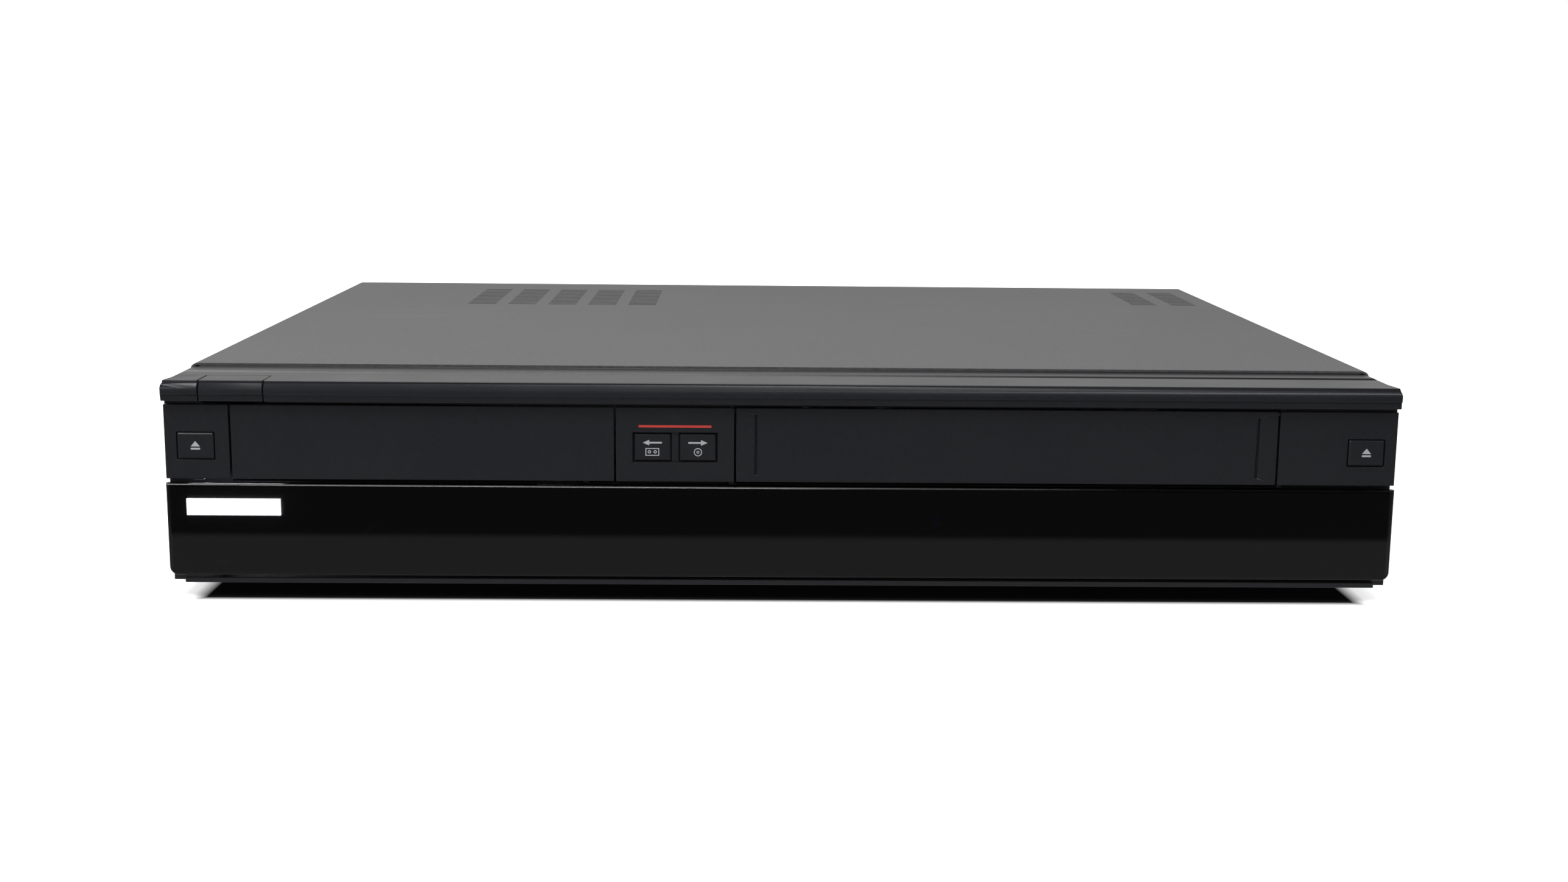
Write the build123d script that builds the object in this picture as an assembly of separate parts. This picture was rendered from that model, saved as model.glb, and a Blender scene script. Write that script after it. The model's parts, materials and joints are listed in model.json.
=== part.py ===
from build123d import *
from math import cos, pi, radians, sin
import os

# A combined disc and tape player, 430 mm wide, built as its separate pieces.
#
# Millimetres, +Z up, the front faces -Y. The origin is on the floor under the middle
# of the player. Depths named below are measured back from the front of the brow, the
# lip along the top of the front, and back() turns such a depth into a Y.

os.makedirs("parts", exist_ok=True)

# ---------------------------------------------------------------- overall size
WIDTH = 430.0
COVER_TOP = 79.0
COVER_REAR = 335.0          # depth of the cover's rear edge
JACK_REACH = 9.0            # the rear sockets stand out this far past the cover
OVERALL_DEPTH = COVER_REAR + JACK_REACH
HALF_WIDTH = WIDTH / 2

# ---------------------------------------------------------------- walls, gaps and fits
COVER_SHEET = 0.8
PAN_SHEET = 1.0
WALL = 2.2                  # plastic wall of the front moulding
SLIT = 0.4                  # gap round a button in its opening
SEAM = 0.65                 # gap at each end of the tray front and the cassette door
RUN = 0.05                  # radial clearance of a pin or shaft in its bore
FREE = 0.3                  # clearance between moving pieces
BOARD = 1.6                 # printed circuit board
INTO = 1.0                  # how far a joined or cutting solid runs into or past its neighbour

# ---------------------------------------------------------------- heights
PAN_BOTTOM = 4.6            # underside of the pan, on the feet
PAN_TOP = PAN_BOTTOM + PAN_SHEET
LIP_TOP = PAN_TOP + 1.8     # the front moulding's lower lip
DOOR_BOTTOM = 8.5
DOOR_TOP = 41.3
BAND_BOTTOM = 42.7          # the band that holds the tray front and the cassette door
BAND_TOP = 68.9
BROW_BOTTOM = 70.4
BEAD_BOTTOM = 72.6
BROW_TOP = 76.7
SHELF_TOP = 77.8
COVER_UNDER = COVER_TOP - COVER_SHEET
SHELF_UNDER = SHELF_TOP - WALL

# ---------------------------------------------------------------- depths of the front
DOOR_FACE = 1.5
DOOR_THICK = 3.0
BAND_FACE = 3.0
NOTCH = 1.6                 # the shadow gap under the brow goes in this far
BROW_SETBACK = 0.5          # the strip under the bead
FASCIA_FACE = 7.0           # the wall behind the door
GROOVE_DEPTH_AT = 20.0      # where the groove across the top starts
GROOVE_WIDTH = 4.5
GROOVE_DROP = 1.0
GROOVE_SLOPE = 0.8
CROWN_AT = 14.0             # the top slopes down to the brow in front of this depth
COVER_FRONT = 34.0
TONGUE = 8.0                # the moulding reaches this far under the cover
LIP_INSET = 5.0
BAND_BACK = BAND_FACE + WALL
FASCIA_BACK = FASCIA_FACE + WALL

# ---------------------------------------------------------------- the two decks, across
TRAY_SHARE = 0.29256        # of the width, from the middle to the disc drive's axis
TAPE_SHARE = 0.18116        # of the width, from the middle to the tape deck's axis
TRAY_X = -TRAY_SHARE * WIDTH
TRAY_FRONT_WIDTH = 132.6
TAPE_X = TAPE_SHARE * WIDTH
TAPE_DOOR_WIDTH = 189.8
TRAY_HALF_GAP = TRAY_FRONT_WIDTH / 2 + SEAM
TAPE_HALF_GAP = TAPE_DOOR_WIDTH / 2 + SEAM
END_PANEL = HALF_WIDTH + TRAY_X - TRAY_HALF_GAP     # the panel at the left end of the band
MIDDLE_LEFT = TRAY_X + TRAY_HALF_GAP                # the panel between the two openings
MIDDLE_PANEL = TAPE_X - TAPE_HALF_GAP - MIDDLE_LEFT
MIDDLE_X = MIDDLE_LEFT + MIDDLE_PANEL / 2
OPENING_FLOOR = 41.4        # bottom edge of both openings in the band

# ---------------------------------------------------------------- small front pieces
POWER_INSET = 13.1          # from the player's left end
POWER_WIDTH = 21.9
POWER_LEFT = POWER_INSET - HALF_WIDTH
POWER_RIGHT = POWER_LEFT + POWER_WIDTH
POWER_BACK = 12.5
POWER_TRAVEL = 0.8
EJECT_X = HALF_WIDTH - 0.481 * END_PANEL
EJECT_Z = 54.4
EJECT_WIDTH = 0.5573 * END_PANEL
EJECT_HEIGHT = 9.0
DUB_Z = 54.8
DUB_WIDTH = 0.308 * MIDDLE_PANEL
DUB_HEIGHT = 9.5
DUB_SPREAD = 0.193 * MIDDLE_PANEL
DUB_LEFT_X = MIDDLE_X - DUB_SPREAD
DUB_RIGHT_X = MIDDLE_X + DUB_SPREAD
DUB_RECESS_MARGIN = 0.7
DUB_RECESS_DROP = 0.8
BUTTON_PROUD = 0.4
BUTTON_TRAVEL = 0.6
BUTTON_FLANGE = 1.0
BUTTON_LIP = 0.375 * (2 * DUB_SPREAD - DUB_WIDTH)   # a share of the gap between the middle buttons
BUTTON_STEM = 1.5
SWITCH_SIZE = 6.0
SWITCH_DEPTH = 3.5
SWITCH_PLAY = 0.1
BAND_BOARD_FACE = 14.0      # boards behind the band carry its switches
FRONT_BOARD_FACE = 18.0     # the board behind the fascia
FRONT_BOARD_TOP = 35.0
FRONT_BOARD_BOTTOM = 9.0
FRONT_BOARD_INSET = 11.0
FRONT_BOARD_HALF = HALF_WIDTH - FRONT_BOARD_INSET
KEY_WIDTH = 13.0
KEY_HEIGHT = 5.0
KEY_Z = 24.0
KEY_PITCH = 18.0
KEY_INSET = 121.0           # from the player's right end to the first key
KEY_FIRST_X = HALF_WIDTH - KEY_INSET
KEY_NAMES = ("rewind", "play", "forward", "stop", "record", "channel")
DISPLAY_WIDTH = 0.3256 * WIDTH
DISPLAY_BOTTOM = 16.5
DISPLAY_TOP = 36.2
DISPLAY_X = -0.5
LAMP_INSET = 6.0
LAMP_WIDTH = 32.6
LAMP_LEFT = LAMP_INSET - HALF_WIDTH
LAMP_RIGHT = LAMP_LEFT + LAMP_WIDTH
LAMP_BOTTOM = 29.3
LAMP_TOP = 35.2
FRONT_JACK_COUNT = 3
FRONT_JACK_INSET = 87.0
FRONT_JACK_X = FRONT_JACK_INSET - HALF_WIDTH
FRONT_JACK_PITCH = 15.0
FRONT_JACK_Z = 22.0

# ---------------------------------------------------------------- hinges
DOOR_AXIS = 4.2             # depth of the drop door's pins
DOOR_AXIS_RISE = 2.3        # of the pins above the door's lower edge
DOOR_AXIS_Z = DOOR_BOTTOM + DOOR_AXIS_RISE
DOOR_PIN = 1.0
DOOR_LUG = 1.6
DOOR_LUG_INSET = 19.0
DOOR_LUG_X = HALF_WIDTH - DOOR_LUG_INSET
DOOR_LUG_WIDTH = 5.0
DOOR_POCKET_MARGIN = 0.4
DOOR_CORNER = 3.0
DOOR_EDGE = 1.2
FLAP_AXIS = 4.2             # depth of the cassette door's pins
FLAP_AXIS_Z = 67.9
FLAP_PIN = 0.8
FLAP_THICK = 2.0
FLAP_PIN_REACH = 1.6        # of each pin into its rib
RIB = 2.0
GROOVE_OUT = 88.0           # of the two upright grooves in the cassette door
GROOVE = 0.8

# ---------------------------------------------------------------- disc drive
TRAY_FRONT_THICK = 2.4
TRAY_UNDER = 47.0
TRAY_THICK = 4.0
TRAY_HALF = 63.0
TRAY_RUNNER = 2.4           # the tray's edges run between the frame's rails
TRAY_RUNNER_THICK = 2.0
TRAY_TRAVEL = 138.0
TRAY_HELD = 28.0            # the open tray's length that stays in the frame
TRAY_LENGTH = TRAY_TRAVEL + TRAY_HELD
TRAY_SLOT_HALF = 17.0
TRAY_GUSSET = 9.0
DISC_RADIUS = 60.5
DISC_AT = 76.0              # depth of the turntable's axis
DISC_DROP = 1.6
SMALL_DISC_RADIUS = 41.0
SMALL_DISC_DROP = 0.8
RUNNER_CLEARANCE = 0.9      # from a runner's edge to the frame's wall
FRAME_WALL = 2.4
FRAME_HALF = TRAY_HALF + TRAY_RUNNER + RUNNER_CLEARANCE + FRAME_WALL
FRAME_FLOOR = 36.0
FRAME_FRONT = 12.0
FRAME_REAR = 205.0
FRAME_TOP = 64.0
FRAME_LEG = 4.5
FRAME_LEG_FRONT = 37.0
PINION_TEETH = 16
TOOTH_PITCH = pi            # module 1
TOOTH_WIDTH = 1.2
TOOTH_TIP = 0.7
TOOTH_ADDENDUM = 0.9
TOOTH_DEDENDUM = 1.25
PINION_RADIUS = PINION_TEETH * TOOTH_PITCH / (2 * pi)
PINION_AT = 24.0
PINION_OUT = 46.0           # from the disc drive's axis
PINION_X = TRAY_X + PINION_OUT
PINION_AXLE = 1.5
RACK_BACK = 2.0
PULLEY_RADIUS = 11.0
PULLEY_THICK = 2.6
PULLEY_GROOVE = 0.9
BELT = 1.1
MOTOR_PULLEY_RADIUS = 3.0
MOTOR_OUT = 12.0
MOTOR_X = TRAY_X + MOTOR_OUT
MOTOR_AT = 40.0
MOTOR_RADIUS = 9.5
MOTOR_HEIGHT = 15.0
MOTOR_SHAFT = 1.0
TRAVERSE_HALF = 31.0
TRAVERSE_FRONT = 60.0
PICKUP_LENGTH = 26.0
PICKUP_START = 98.0
PICKUP_TRAVEL = 24.0
PICKUP_STOP = 8.0           # from the pickup's far end to the traverse's rear edge
TRAVERSE_REAR = PICKUP_START + PICKUP_LENGTH + PICKUP_TRAVEL + PICKUP_STOP
TRAVERSE_AXIS = 152.0
TRAVERSE_UNDER = 40.0
TRAVERSE_SHEET = 1.6
TRAVERSE_PIN = 1.5
TRAVERSE_WINDOW = 2.0       # the frame's window is this much larger all round
TRAVERSE_BOSS = 4.0
SPINDLE = 1.0
SPINDLE_MOTOR_RADIUS = 12.0
SPINDLE_MOTOR_HEIGHT = 5.0
TURNTABLE_RADIUS = 13.0
TURNTABLE_TOP = 51.0
TURNTABLE_THICK = 1.4
HUB_CONE_HEIGHT = 2.4
HUB_CONE_RADIUS = 7.4
HUB_CONE_TIP = 6.0
GUIDE_ROD = 1.5
GUIDE_ROD_OUT = 23.0
GUIDE_ROD_Z = 44.2
ROD_HOLDER = 2.5
ROD_FRONT = 88.0
PICKUP_HEIGHT = 4.0
LENS_RADIUS = 3.4
LENS_TOP = 48.0
BRIDGE_HALF = 15.0
BRIDGE_SHEET = 1.2
CLAMP_NECK = 9.4
CLAMP_DISC = 13.0
CLAMP_DISC_THICK = 1.4

# ---------------------------------------------------------------- tape deck
DECK_Z = 22.0
DECK_SHEET = 1.2
DECK_LEFT_REACH = 101.9     # of the deck plate, from the tape deck's axis
DECK_RIGHT_REACH = 122.1
DECK_LEFT = TAPE_X - DECK_LEFT_REACH
DECK_RIGHT = TAPE_X + DECK_RIGHT_REACH
DECK_FRONT = 30.0
DECK_REAR = 288.0
PILLAR = 4.0
DRUM_DEPTH = 250.0
DRUM_RADIUS = 31.0
DRUM_LOWER_Z = 30.0
DRUM_SPLIT_Z = 44.0
DRUM_TOP = 62.0
DRUM_GAP = 0.4
DRUM_SHAFT = 3.0
DRUM_BASE = 27.0
REEL_SPACING = 90.0
REEL_DEPTH = 150.0
REEL_DISC = 17.0
REEL_DISC_THICK = 1.0
REEL_HUB = 4.0
REEL_TOP = 36.0
REEL_SHAFT = 2.0
REEL_BOSS = 5.0
BASKET_FRONT = 33.0
BASKET_LENGTH = 104.0
BASKET_BOTTOM = 40.6
BASKET_TOP = 68.0
BASKET_SHEET = 1.0
BASKET_INNER = 188.6
BASKET_LEDGE = 9.0
BASKET_IN = 70.0
BASKET_DOWN = 14.8
BASKET_PIN = 1.2
BASKET_PIN_Z = 54.0
BASKET_PIN_REACH = 2.7
ARM_SHEET = 1.2
ARM_GAP = 0.7               # between the basket's side and the slider's arm
ARM_DEPTH = 14.0
ARM_BOTTOM = 30.0
ARM_TOP = 74.0
SIDE_GAP = 1.8              # between the slider's arm and the fixed side
SIDE_SHEET = 1.2
SIDE_REAR = 215.0
SIDE_TOP = 75.0
SIDE_SLOPE = 41.0           # of the plate's slanted rear corner
SLIDER_PIN_Z = 68.0
SLOT_PLAY = 0.1
CAPSTAN_OUT = 62.0
CAPSTAN_FORWARD = 36.0
CAPSTAN = 1.5
CAPSTAN_TOP = 50.0
CAPSTAN_BUSH = 4.0
CAPSTAN_BUSH_DOWN = 3.5
CAPSTAN_BUSH_UP = 5.0
FLYWHEEL_RADIUS = 20.0
FLYWHEEL_THICK = 4.0
FLYWHEEL_Z = 13.0
STATOR_RADIUS = 16.0
PINCH_PIVOT_OUT = 80.0
PINCH_PIVOT_FORWARD = 10.0
PINCH_PIVOT = 2.0
PINCH_BOSS = 4.5
PINCH_ARM_Z = 26.0
PINCH_ARM_SHEET = 2.0
PINCH_SIDE = 65.7           # degrees, from the capstan towards the pressed roller
PINCH_SWING = 25.0          # degrees, from open to pressed
PINCH_ROLLER = 5.5
PINCH_ROLLER_Z = 30.0
PINCH_ROLLER_HEIGHT = 16.0
PINCH_AXLE = 1.5
GUIDE_START_OUT = 18.0
GUIDE_START_FORWARD = 52.0
GUIDE_TRAVEL = 66.0
GUIDE_LEAN = 22.1           # degrees that each track turns outwards
GUIDE_POST = 3.0
GUIDE_POST_TOP = 46.0
GUIDE_RIM = 1.0
GUIDE_SLOT = 5.0
GUIDE_FOOT = 2.0
GUIDE_BASE = 5.0
GUIDE_BASE_THICK = 3.0
HEAD_OUT = 51.0
HEAD_FORWARD = 28.0
HEAD_WIDTH = 10.0
HEAD_DEPTH = 8.0
HEAD_HEIGHT = 20.0

# ---------------------------------------------------------------- cover, rear and boards
SLOT_WIDTH = 2.0
SLOT_PITCH = 5.0
LEFT_VENT_INSET = 115.3     # from the player's left end to the middle block
LEFT_VENT_X = LEFT_VENT_INSET - HALF_WIDTH
LEFT_VENT_COUNT = 5
LEFT_VENT_PITCH = 18.7
LEFT_VENT_LENGTH = 13.0
LEFT_VENT_START = 238.0
LEFT_VENT_SLOTS = 14
RIGHT_VENT_INSET = 28.0
RIGHT_VENT_X = HALF_WIDTH - RIGHT_VENT_INSET
RIGHT_VENT_COUNT = 2
RIGHT_VENT_PITCH = 19.0
RIGHT_VENT_LENGTH = 12.0
RIGHT_VENT_START = 255.0
RIGHT_VENT_SLOTS = 12
REAR_GRILLE_COLUMNS = 3
REAR_GRILLE_ROWS = 8
REAR_GRILLE_PITCH = 26.0
REAR_GRILLE_SLOT = 20.0
REAR_GRILLE_BOTTOM = 36.0
COVER_BEND = 2.5
COVER_INSET = 1.0           # the cover is this much narrower than the front, each side
COVER_SIDE_BOTTOM = 6.6
PAN_PLAY = 0.8              # between the pan's flange and the cover's side
PAN_HALF = HALF_WIDTH - COVER_INSET - COVER_SHEET - PAN_PLAY
PAN_FRONT = 12.0
PAN_FLANGE = 20.0
REAR_SHEET = 1.0
REAR_INSET = 1.0
REAR_FACE = COVER_REAR - REAR_INSET
REAR_INNER = REAR_FACE - REAR_SHEET
REAR_PLAY = 2.2             # between the rear plate's edge and the cover's side
REAR_HALF = HALF_WIDTH - COVER_INSET - COVER_SHEET - REAR_PLAY
FOOT_RADIUS = 15.0
FOOT_INSET = 45.0
FOOT_X = HALF_WIDTH - FOOT_INSET
FOOT_FRONT = 42.0
FOOT_BACK = 296.0
FOOT_RIM = 2.5
FOOT_HOLLOW = 2.0
BOARD_Z = 12.0
STANDOFF = 3.0
RCA_SLEEVE = 4.15
RCA_BORE = 1.6              # the contact hole in the insulator that fills the sleeve
RCA_LENGTH = 9.0
RCA_PITCH = 14.0
RCA_COLLAR = 5.6
RCA_COLUMNS = 3
RCA_ROWS = 2
RCA_LOW = 26.0              # height of the lower row
ANTENNA_RADIUS = 4.75
ANTENNA_BORE = 1.0
SCREW_HEAD = 3.4
SCREW_HEAD_THICK = 1.0
SCREW_BACK = 20.0           # from the cover's front edge to the first side screw
SCREW_FORWARD = 30.0        # from the cover's rear edge to the last one
SCREW_Z = 13.2
REAR_SCREW_SPREAD = 113.0
REAR_SCREW_DROP = 6.8       # below the cover's underside

# ---------------------------------------------------------------- boards and what stands on them
MAIN_BOARD_LEFT = 56.2      # from the disc drive's axis
MAIN_BOARD_RIGHT = 57.8
MAIN_BOARD_FRONT = 48.0
MAIN_BOARD_REAR = 196.0
POWER_BOARD_INSET = 7.4     # from the pan's edge
POWER_BOARD_WIDTH = 160.0
POWER_BOARD_FRONT = 214.0
POWER_BOARD_REAR = 326.0
POWER_BOARD_LEFT = POWER_BOARD_INSET - PAN_HALF
POWER_BOARD_RIGHT = POWER_BOARD_LEFT + POWER_BOARD_WIDTH
JACK_BOARD_GAP = 7.0
JACK_BOARD_INSET = 6.4
JACK_BOARD_FRONT = 294.0
JACK_BOARD_REAR = 330.0
BOARDS = {
    "main_board": (TRAY_X - MAIN_BOARD_LEFT, TRAY_X + MAIN_BOARD_RIGHT, MAIN_BOARD_FRONT, MAIN_BOARD_REAR),
    "power_board": (POWER_BOARD_LEFT, POWER_BOARD_RIGHT, POWER_BOARD_FRONT, POWER_BOARD_REAR),
    "jack_board": (POWER_BOARD_RIGHT + JACK_BOARD_GAP, PAN_HALF - JACK_BOARD_INSET, JACK_BOARD_FRONT,
                   JACK_BOARD_REAR),
}
POWER_MIDDLE_BACK = 48.0    # from the power board's front edge to its large parts
POWER_MIDDLE = POWER_BOARD_FRONT + POWER_MIDDLE_BACK
CORE_INSET = 35.0           # from the power board's left edge to the transformer
CORE_HALF = 15.0
CORE_HALF_DEPTH = 17.0
CORE_HEIGHT = 26.0
CORE_LEG = 5.0
BOBBIN_HALF = 12.0
SINK_INSET = 77.0
SINK_HALF_DEPTH = 24.0
SINK_HEIGHT = 38.0
SINK_PLATE = 3.0
SINK_FIN_HALF = 9.0
SINK_FIN = 1.4
SINK_FIN_COUNT = 6
SINK_FIN_PITCH = 6.0
CAPACITORS = [              # from the power board's left edge and front, then radius and height
    (19.0, 12.0, 9.0, 32.0), (105.0, 24.0, 6.5, 22.0), (105.0, 42.0, 6.5, 22.0),
    (121.0, 33.0, 5.0, 18.0), (105.0, 62.0, 5.0, 16.0)]
TUNER_INSET = 43.0          # each from the rear plate's right edge
TAPE_JACK_INSET = 115.0
DISC_JACK_INSET = 187.0
SIGNAL_INSET = 211.0
HDMI_INSET = 235.0
SIGNAL_LOW = 25.0
SIGNAL_HIGH = 40.0
SIGNAL_CARD_LEFT = 34.0     # of the upright card, from the optical socket
SIGNAL_CARD_RIGHT = 8.0
SIGNAL_CARD_TOP = 48.0
SOCKETS = {                 # x, z, half the width and half the height
    "s_video_socket": (REAR_HALF - SIGNAL_INSET, SIGNAL_HIGH, 5.5, 5.5),
    "optical_socket": (REAR_HALF - SIGNAL_INSET, SIGNAL_LOW, 5.0, 5.0),
    "hdmi_socket": (REAR_HALF - HDMI_INSET, SIGNAL_LOW, 8.2, 3.6),
}
ANTENNA_X = REAR_HALF - TUNER_INSET
ANTENNA_HEIGHTS = (46.0, 27.0)
TUNER_HALF = 16.0
TUNER_TOP = 54.0
TUNER_LID_BOTTOM = 49.0
INLET_INSET = 25.0
INLET_X = INLET_INSET - REAR_HALF
INLET_Z = 24.0
INLET_HALF = 6.0
INLET_COLLAR = 2.0
LEAD_WIDTH = 6.6            # the hole for a flat lead
LEAD_THICK = 3.4


# ---------------------------------------------------------------- helpers
def back(depth):
    """The Y of a plane that lies this far behind the front of the brow."""
    return depth - OVERALL_DEPTH / 2


def block(x0, x1, depth0, depth1, z0, z1):
    """A box between two heights, two depths and two places across."""
    centre = Pos((x0 + x1) / 2, back((depth0 + depth1) / 2), (z0 + z1) / 2)
    return centre * Box(x1 - x0, depth1 - depth0, z1 - z0)


def post(x, depth, z0, z1, radius):
    """A round bar that stands upright."""
    return Pos(x, back(depth), (z0 + z1) / 2) * Cylinder(radius, z1 - z0)


def pressed_post(x, depth, z0, z1, half):
    """A square post that stands upright."""
    return block(x - half, x + half, depth - half, depth + half, z0, z1)


def square_peg(x, z, depth0, depth1, half):
    """A square bar that points backwards."""
    return block(x - half, x + half, depth0, depth1, z - half, z + half)


def peg(x, z, depth0, depth1, radius):
    """A round bar that points backwards."""
    return Pos(x, back((depth0 + depth1) / 2), z) * Rot(90, 0, 0) * Cylinder(radius, depth1 - depth0)


def axle(x0, x1, depth, z, radius):
    """A round bar that lies across the player."""
    return Pos((x0 + x1) / 2, back(depth), z) * Rot(0, 90, 0) * Cylinder(radius, x1 - x0)


def across(outline, x0, x1):
    """An outline of (depth, height) points drawn out across the player."""
    face = make_face(Polyline(*[(back(depth), z) for depth, z in outline], close=True))
    return Pos(x0, 0, 0) * extrude(Plane.YZ * face, amount=x1 - x0, dir=(1, 0, 0))


def upright(outline, z0, z1):
    """An outline of (x, y) points drawn upwards."""
    face = make_face(Polyline(*outline, close=True))
    return Pos(0, 0, z0) * extrude(face, amount=z1 - z0, dir=(0, 0, 1))


def mirrored(shape):
    return mirror(shape, about=Plane.YZ)


# ---------------------------------------------------------------- front moulding
def brow_outline(inside):
    """The lip and the top of the front, down to the band, as a bent wall."""
    groove_end = GROOVE_DEPTH_AT + GROOVE_WIDTH
    edge = (BROW_TOP - BEAD_BOTTOM) / 4
    outer = [(BAND_FACE + NOTCH, BAND_TOP), (BAND_FACE + NOTCH, BROW_BOTTOM),
             (BROW_SETBACK, BROW_BOTTOM), (BROW_SETBACK, BEAD_BOTTOM), (0, BEAD_BOTTOM + edge / 3),
             (0, BROW_TOP - edge), (edge / 3, BROW_TOP - edge / 3), (edge, BROW_TOP),
             (CROWN_AT, SHELF_TOP), (GROOVE_DEPTH_AT, SHELF_TOP),
             (GROOVE_DEPTH_AT + GROOVE_SLOPE, SHELF_TOP - GROOVE_DROP),
             (groove_end - GROOVE_SLOPE, SHELF_TOP - GROOVE_DROP), (groove_end, SHELF_TOP),
             (COVER_FRONT, SHELF_TOP), (COVER_FRONT, COVER_UNDER),
             (COVER_FRONT + TONGUE, COVER_UNDER), (COVER_FRONT + TONGUE, SHELF_UNDER)]
    return outer + [(inside, SHELF_UNDER), (inside, BAND_TOP)]


def front_shell():
    """The whole front wall, one bent section drawn across, with its two end cheeks."""
    inside = BAND_FACE + NOTCH + WALL
    half = HALF_WIDTH
    brow = across(brow_outline(inside), -half, half)
    band = across([(BAND_FACE, BAND_BOTTOM), (BAND_FACE, BAND_TOP), (inside, BAND_TOP),
                   (inside, BAND_TOP - WALL), (BAND_BACK, BAND_TOP - 2 * WALL),
                   (BAND_BACK, BAND_BOTTOM + WALL), (FASCIA_BACK, BAND_BOTTOM + WALL),
                   (FASCIA_BACK, LIP_TOP), (GROOVE_DEPTH_AT, LIP_TOP), (GROOVE_DEPTH_AT, PAN_TOP),
                   (FASCIA_FACE, PAN_TOP), (FASCIA_FACE, BAND_BOTTOM)], -half, half)
    lip = block(LIP_INSET - half, half - LIP_INSET, BAND_FACE, FASCIA_FACE, PAN_TOP, LIP_TOP)
    cheek = across([(FASCIA_FACE, PAN_TOP), (FASCIA_FACE, BAND_BOTTOM), (BAND_FACE, BAND_BOTTOM),
                    (BAND_FACE, BAND_TOP), (inside, BAND_TOP), (inside, SHELF_UNDER),
                    (COVER_FRONT, SHELF_UNDER), (COVER_FRONT, PAN_TOP)], half - WALL, half)
    tongue_cut = block(half - 2 * WALL, half, COVER_FRONT, COVER_FRONT + TONGUE, SHELF_UNDER, COVER_UNDER)
    shell = brow + band + lip + cheek + mirrored(cheek) - tongue_cut - mirrored(tongue_cut)
    corner = block(half - DOOR_CORNER, half, -INTO, COVER_FRONT + INTO,
                   SHELF_TOP - DOOR_CORNER, SHELF_TOP + INTO)
    corner -= Pos(half - DOOR_CORNER, back(COVER_FRONT / 2), SHELF_TOP - DOOR_CORNER) * (
        Rot(90, 0, 0) * Cylinder(DOOR_CORNER, 2 * COVER_FRONT))
    return shell - corner - mirrored(corner)


def button_places():
    """The buttons that press backwards: name, x, z, width, height, and the wall each is in."""
    band = (BAND_FACE, BAND_BACK, BAND_BOARD_FACE)
    fascia = (FASCIA_FACE, FASCIA_BACK, FRONT_BOARD_FACE)
    sunk = (BAND_FACE + DUB_RECESS_DROP, BAND_BACK, BAND_BOARD_FACE)
    places = [("disc_eject_button", -EJECT_X, EJECT_Z, EJECT_WIDTH, EJECT_HEIGHT, band),
              ("cassette_eject_button", EJECT_X, EJECT_Z, EJECT_WIDTH, EJECT_HEIGHT, band),
              ("dubbing_button_left", DUB_LEFT_X, DUB_Z, DUB_WIDTH, DUB_HEIGHT, sunk),
              ("dubbing_button_right", DUB_RIGHT_X, DUB_Z, DUB_WIDTH, DUB_HEIGHT, sunk)]
    for number, name in enumerate(KEY_NAMES):
        x = KEY_FIRST_X + number * KEY_PITCH
        places.append(("key_" + name, x, KEY_Z, KEY_WIDTH, KEY_HEIGHT, fascia))
    return places


def push_button(x, z, width, height, wall):
    """A cap through its wall, the flange that keeps it in and the stem that meets its switch."""
    face, rear, board = wall
    flange = rear + FREE
    stem_end = board - SWITCH_DEPTH - BUTTON_TRAVEL - SWITCH_PLAY
    cap = block(x - width / 2, x + width / 2, face - BUTTON_PROUD, flange,
                z - height / 2, z + height / 2)
    front_rim = cap.faces().sort_by(Axis.Y)[0].edges()
    cap = chamfer(front_rim, BUTTON_PROUD)
    plate = block(x - width / 2 - BUTTON_LIP, x + width / 2 + BUTTON_LIP, flange,
                  flange + BUTTON_FLANGE, z - height / 2 - BUTTON_LIP, z + height / 2 + BUTTON_LIP)
    return cap + plate + square_peg(x, z, flange, stem_end, BUTTON_STEM)


def power_cut(margin):
    """The stretch of brow and top that the power button takes."""
    return block(POWER_LEFT - margin, POWER_RIGHT + margin, -INTO, POWER_BACK + 1.5 * margin,
                 BROW_BOTTOM - (3 * margin), COVER_TOP)


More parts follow.
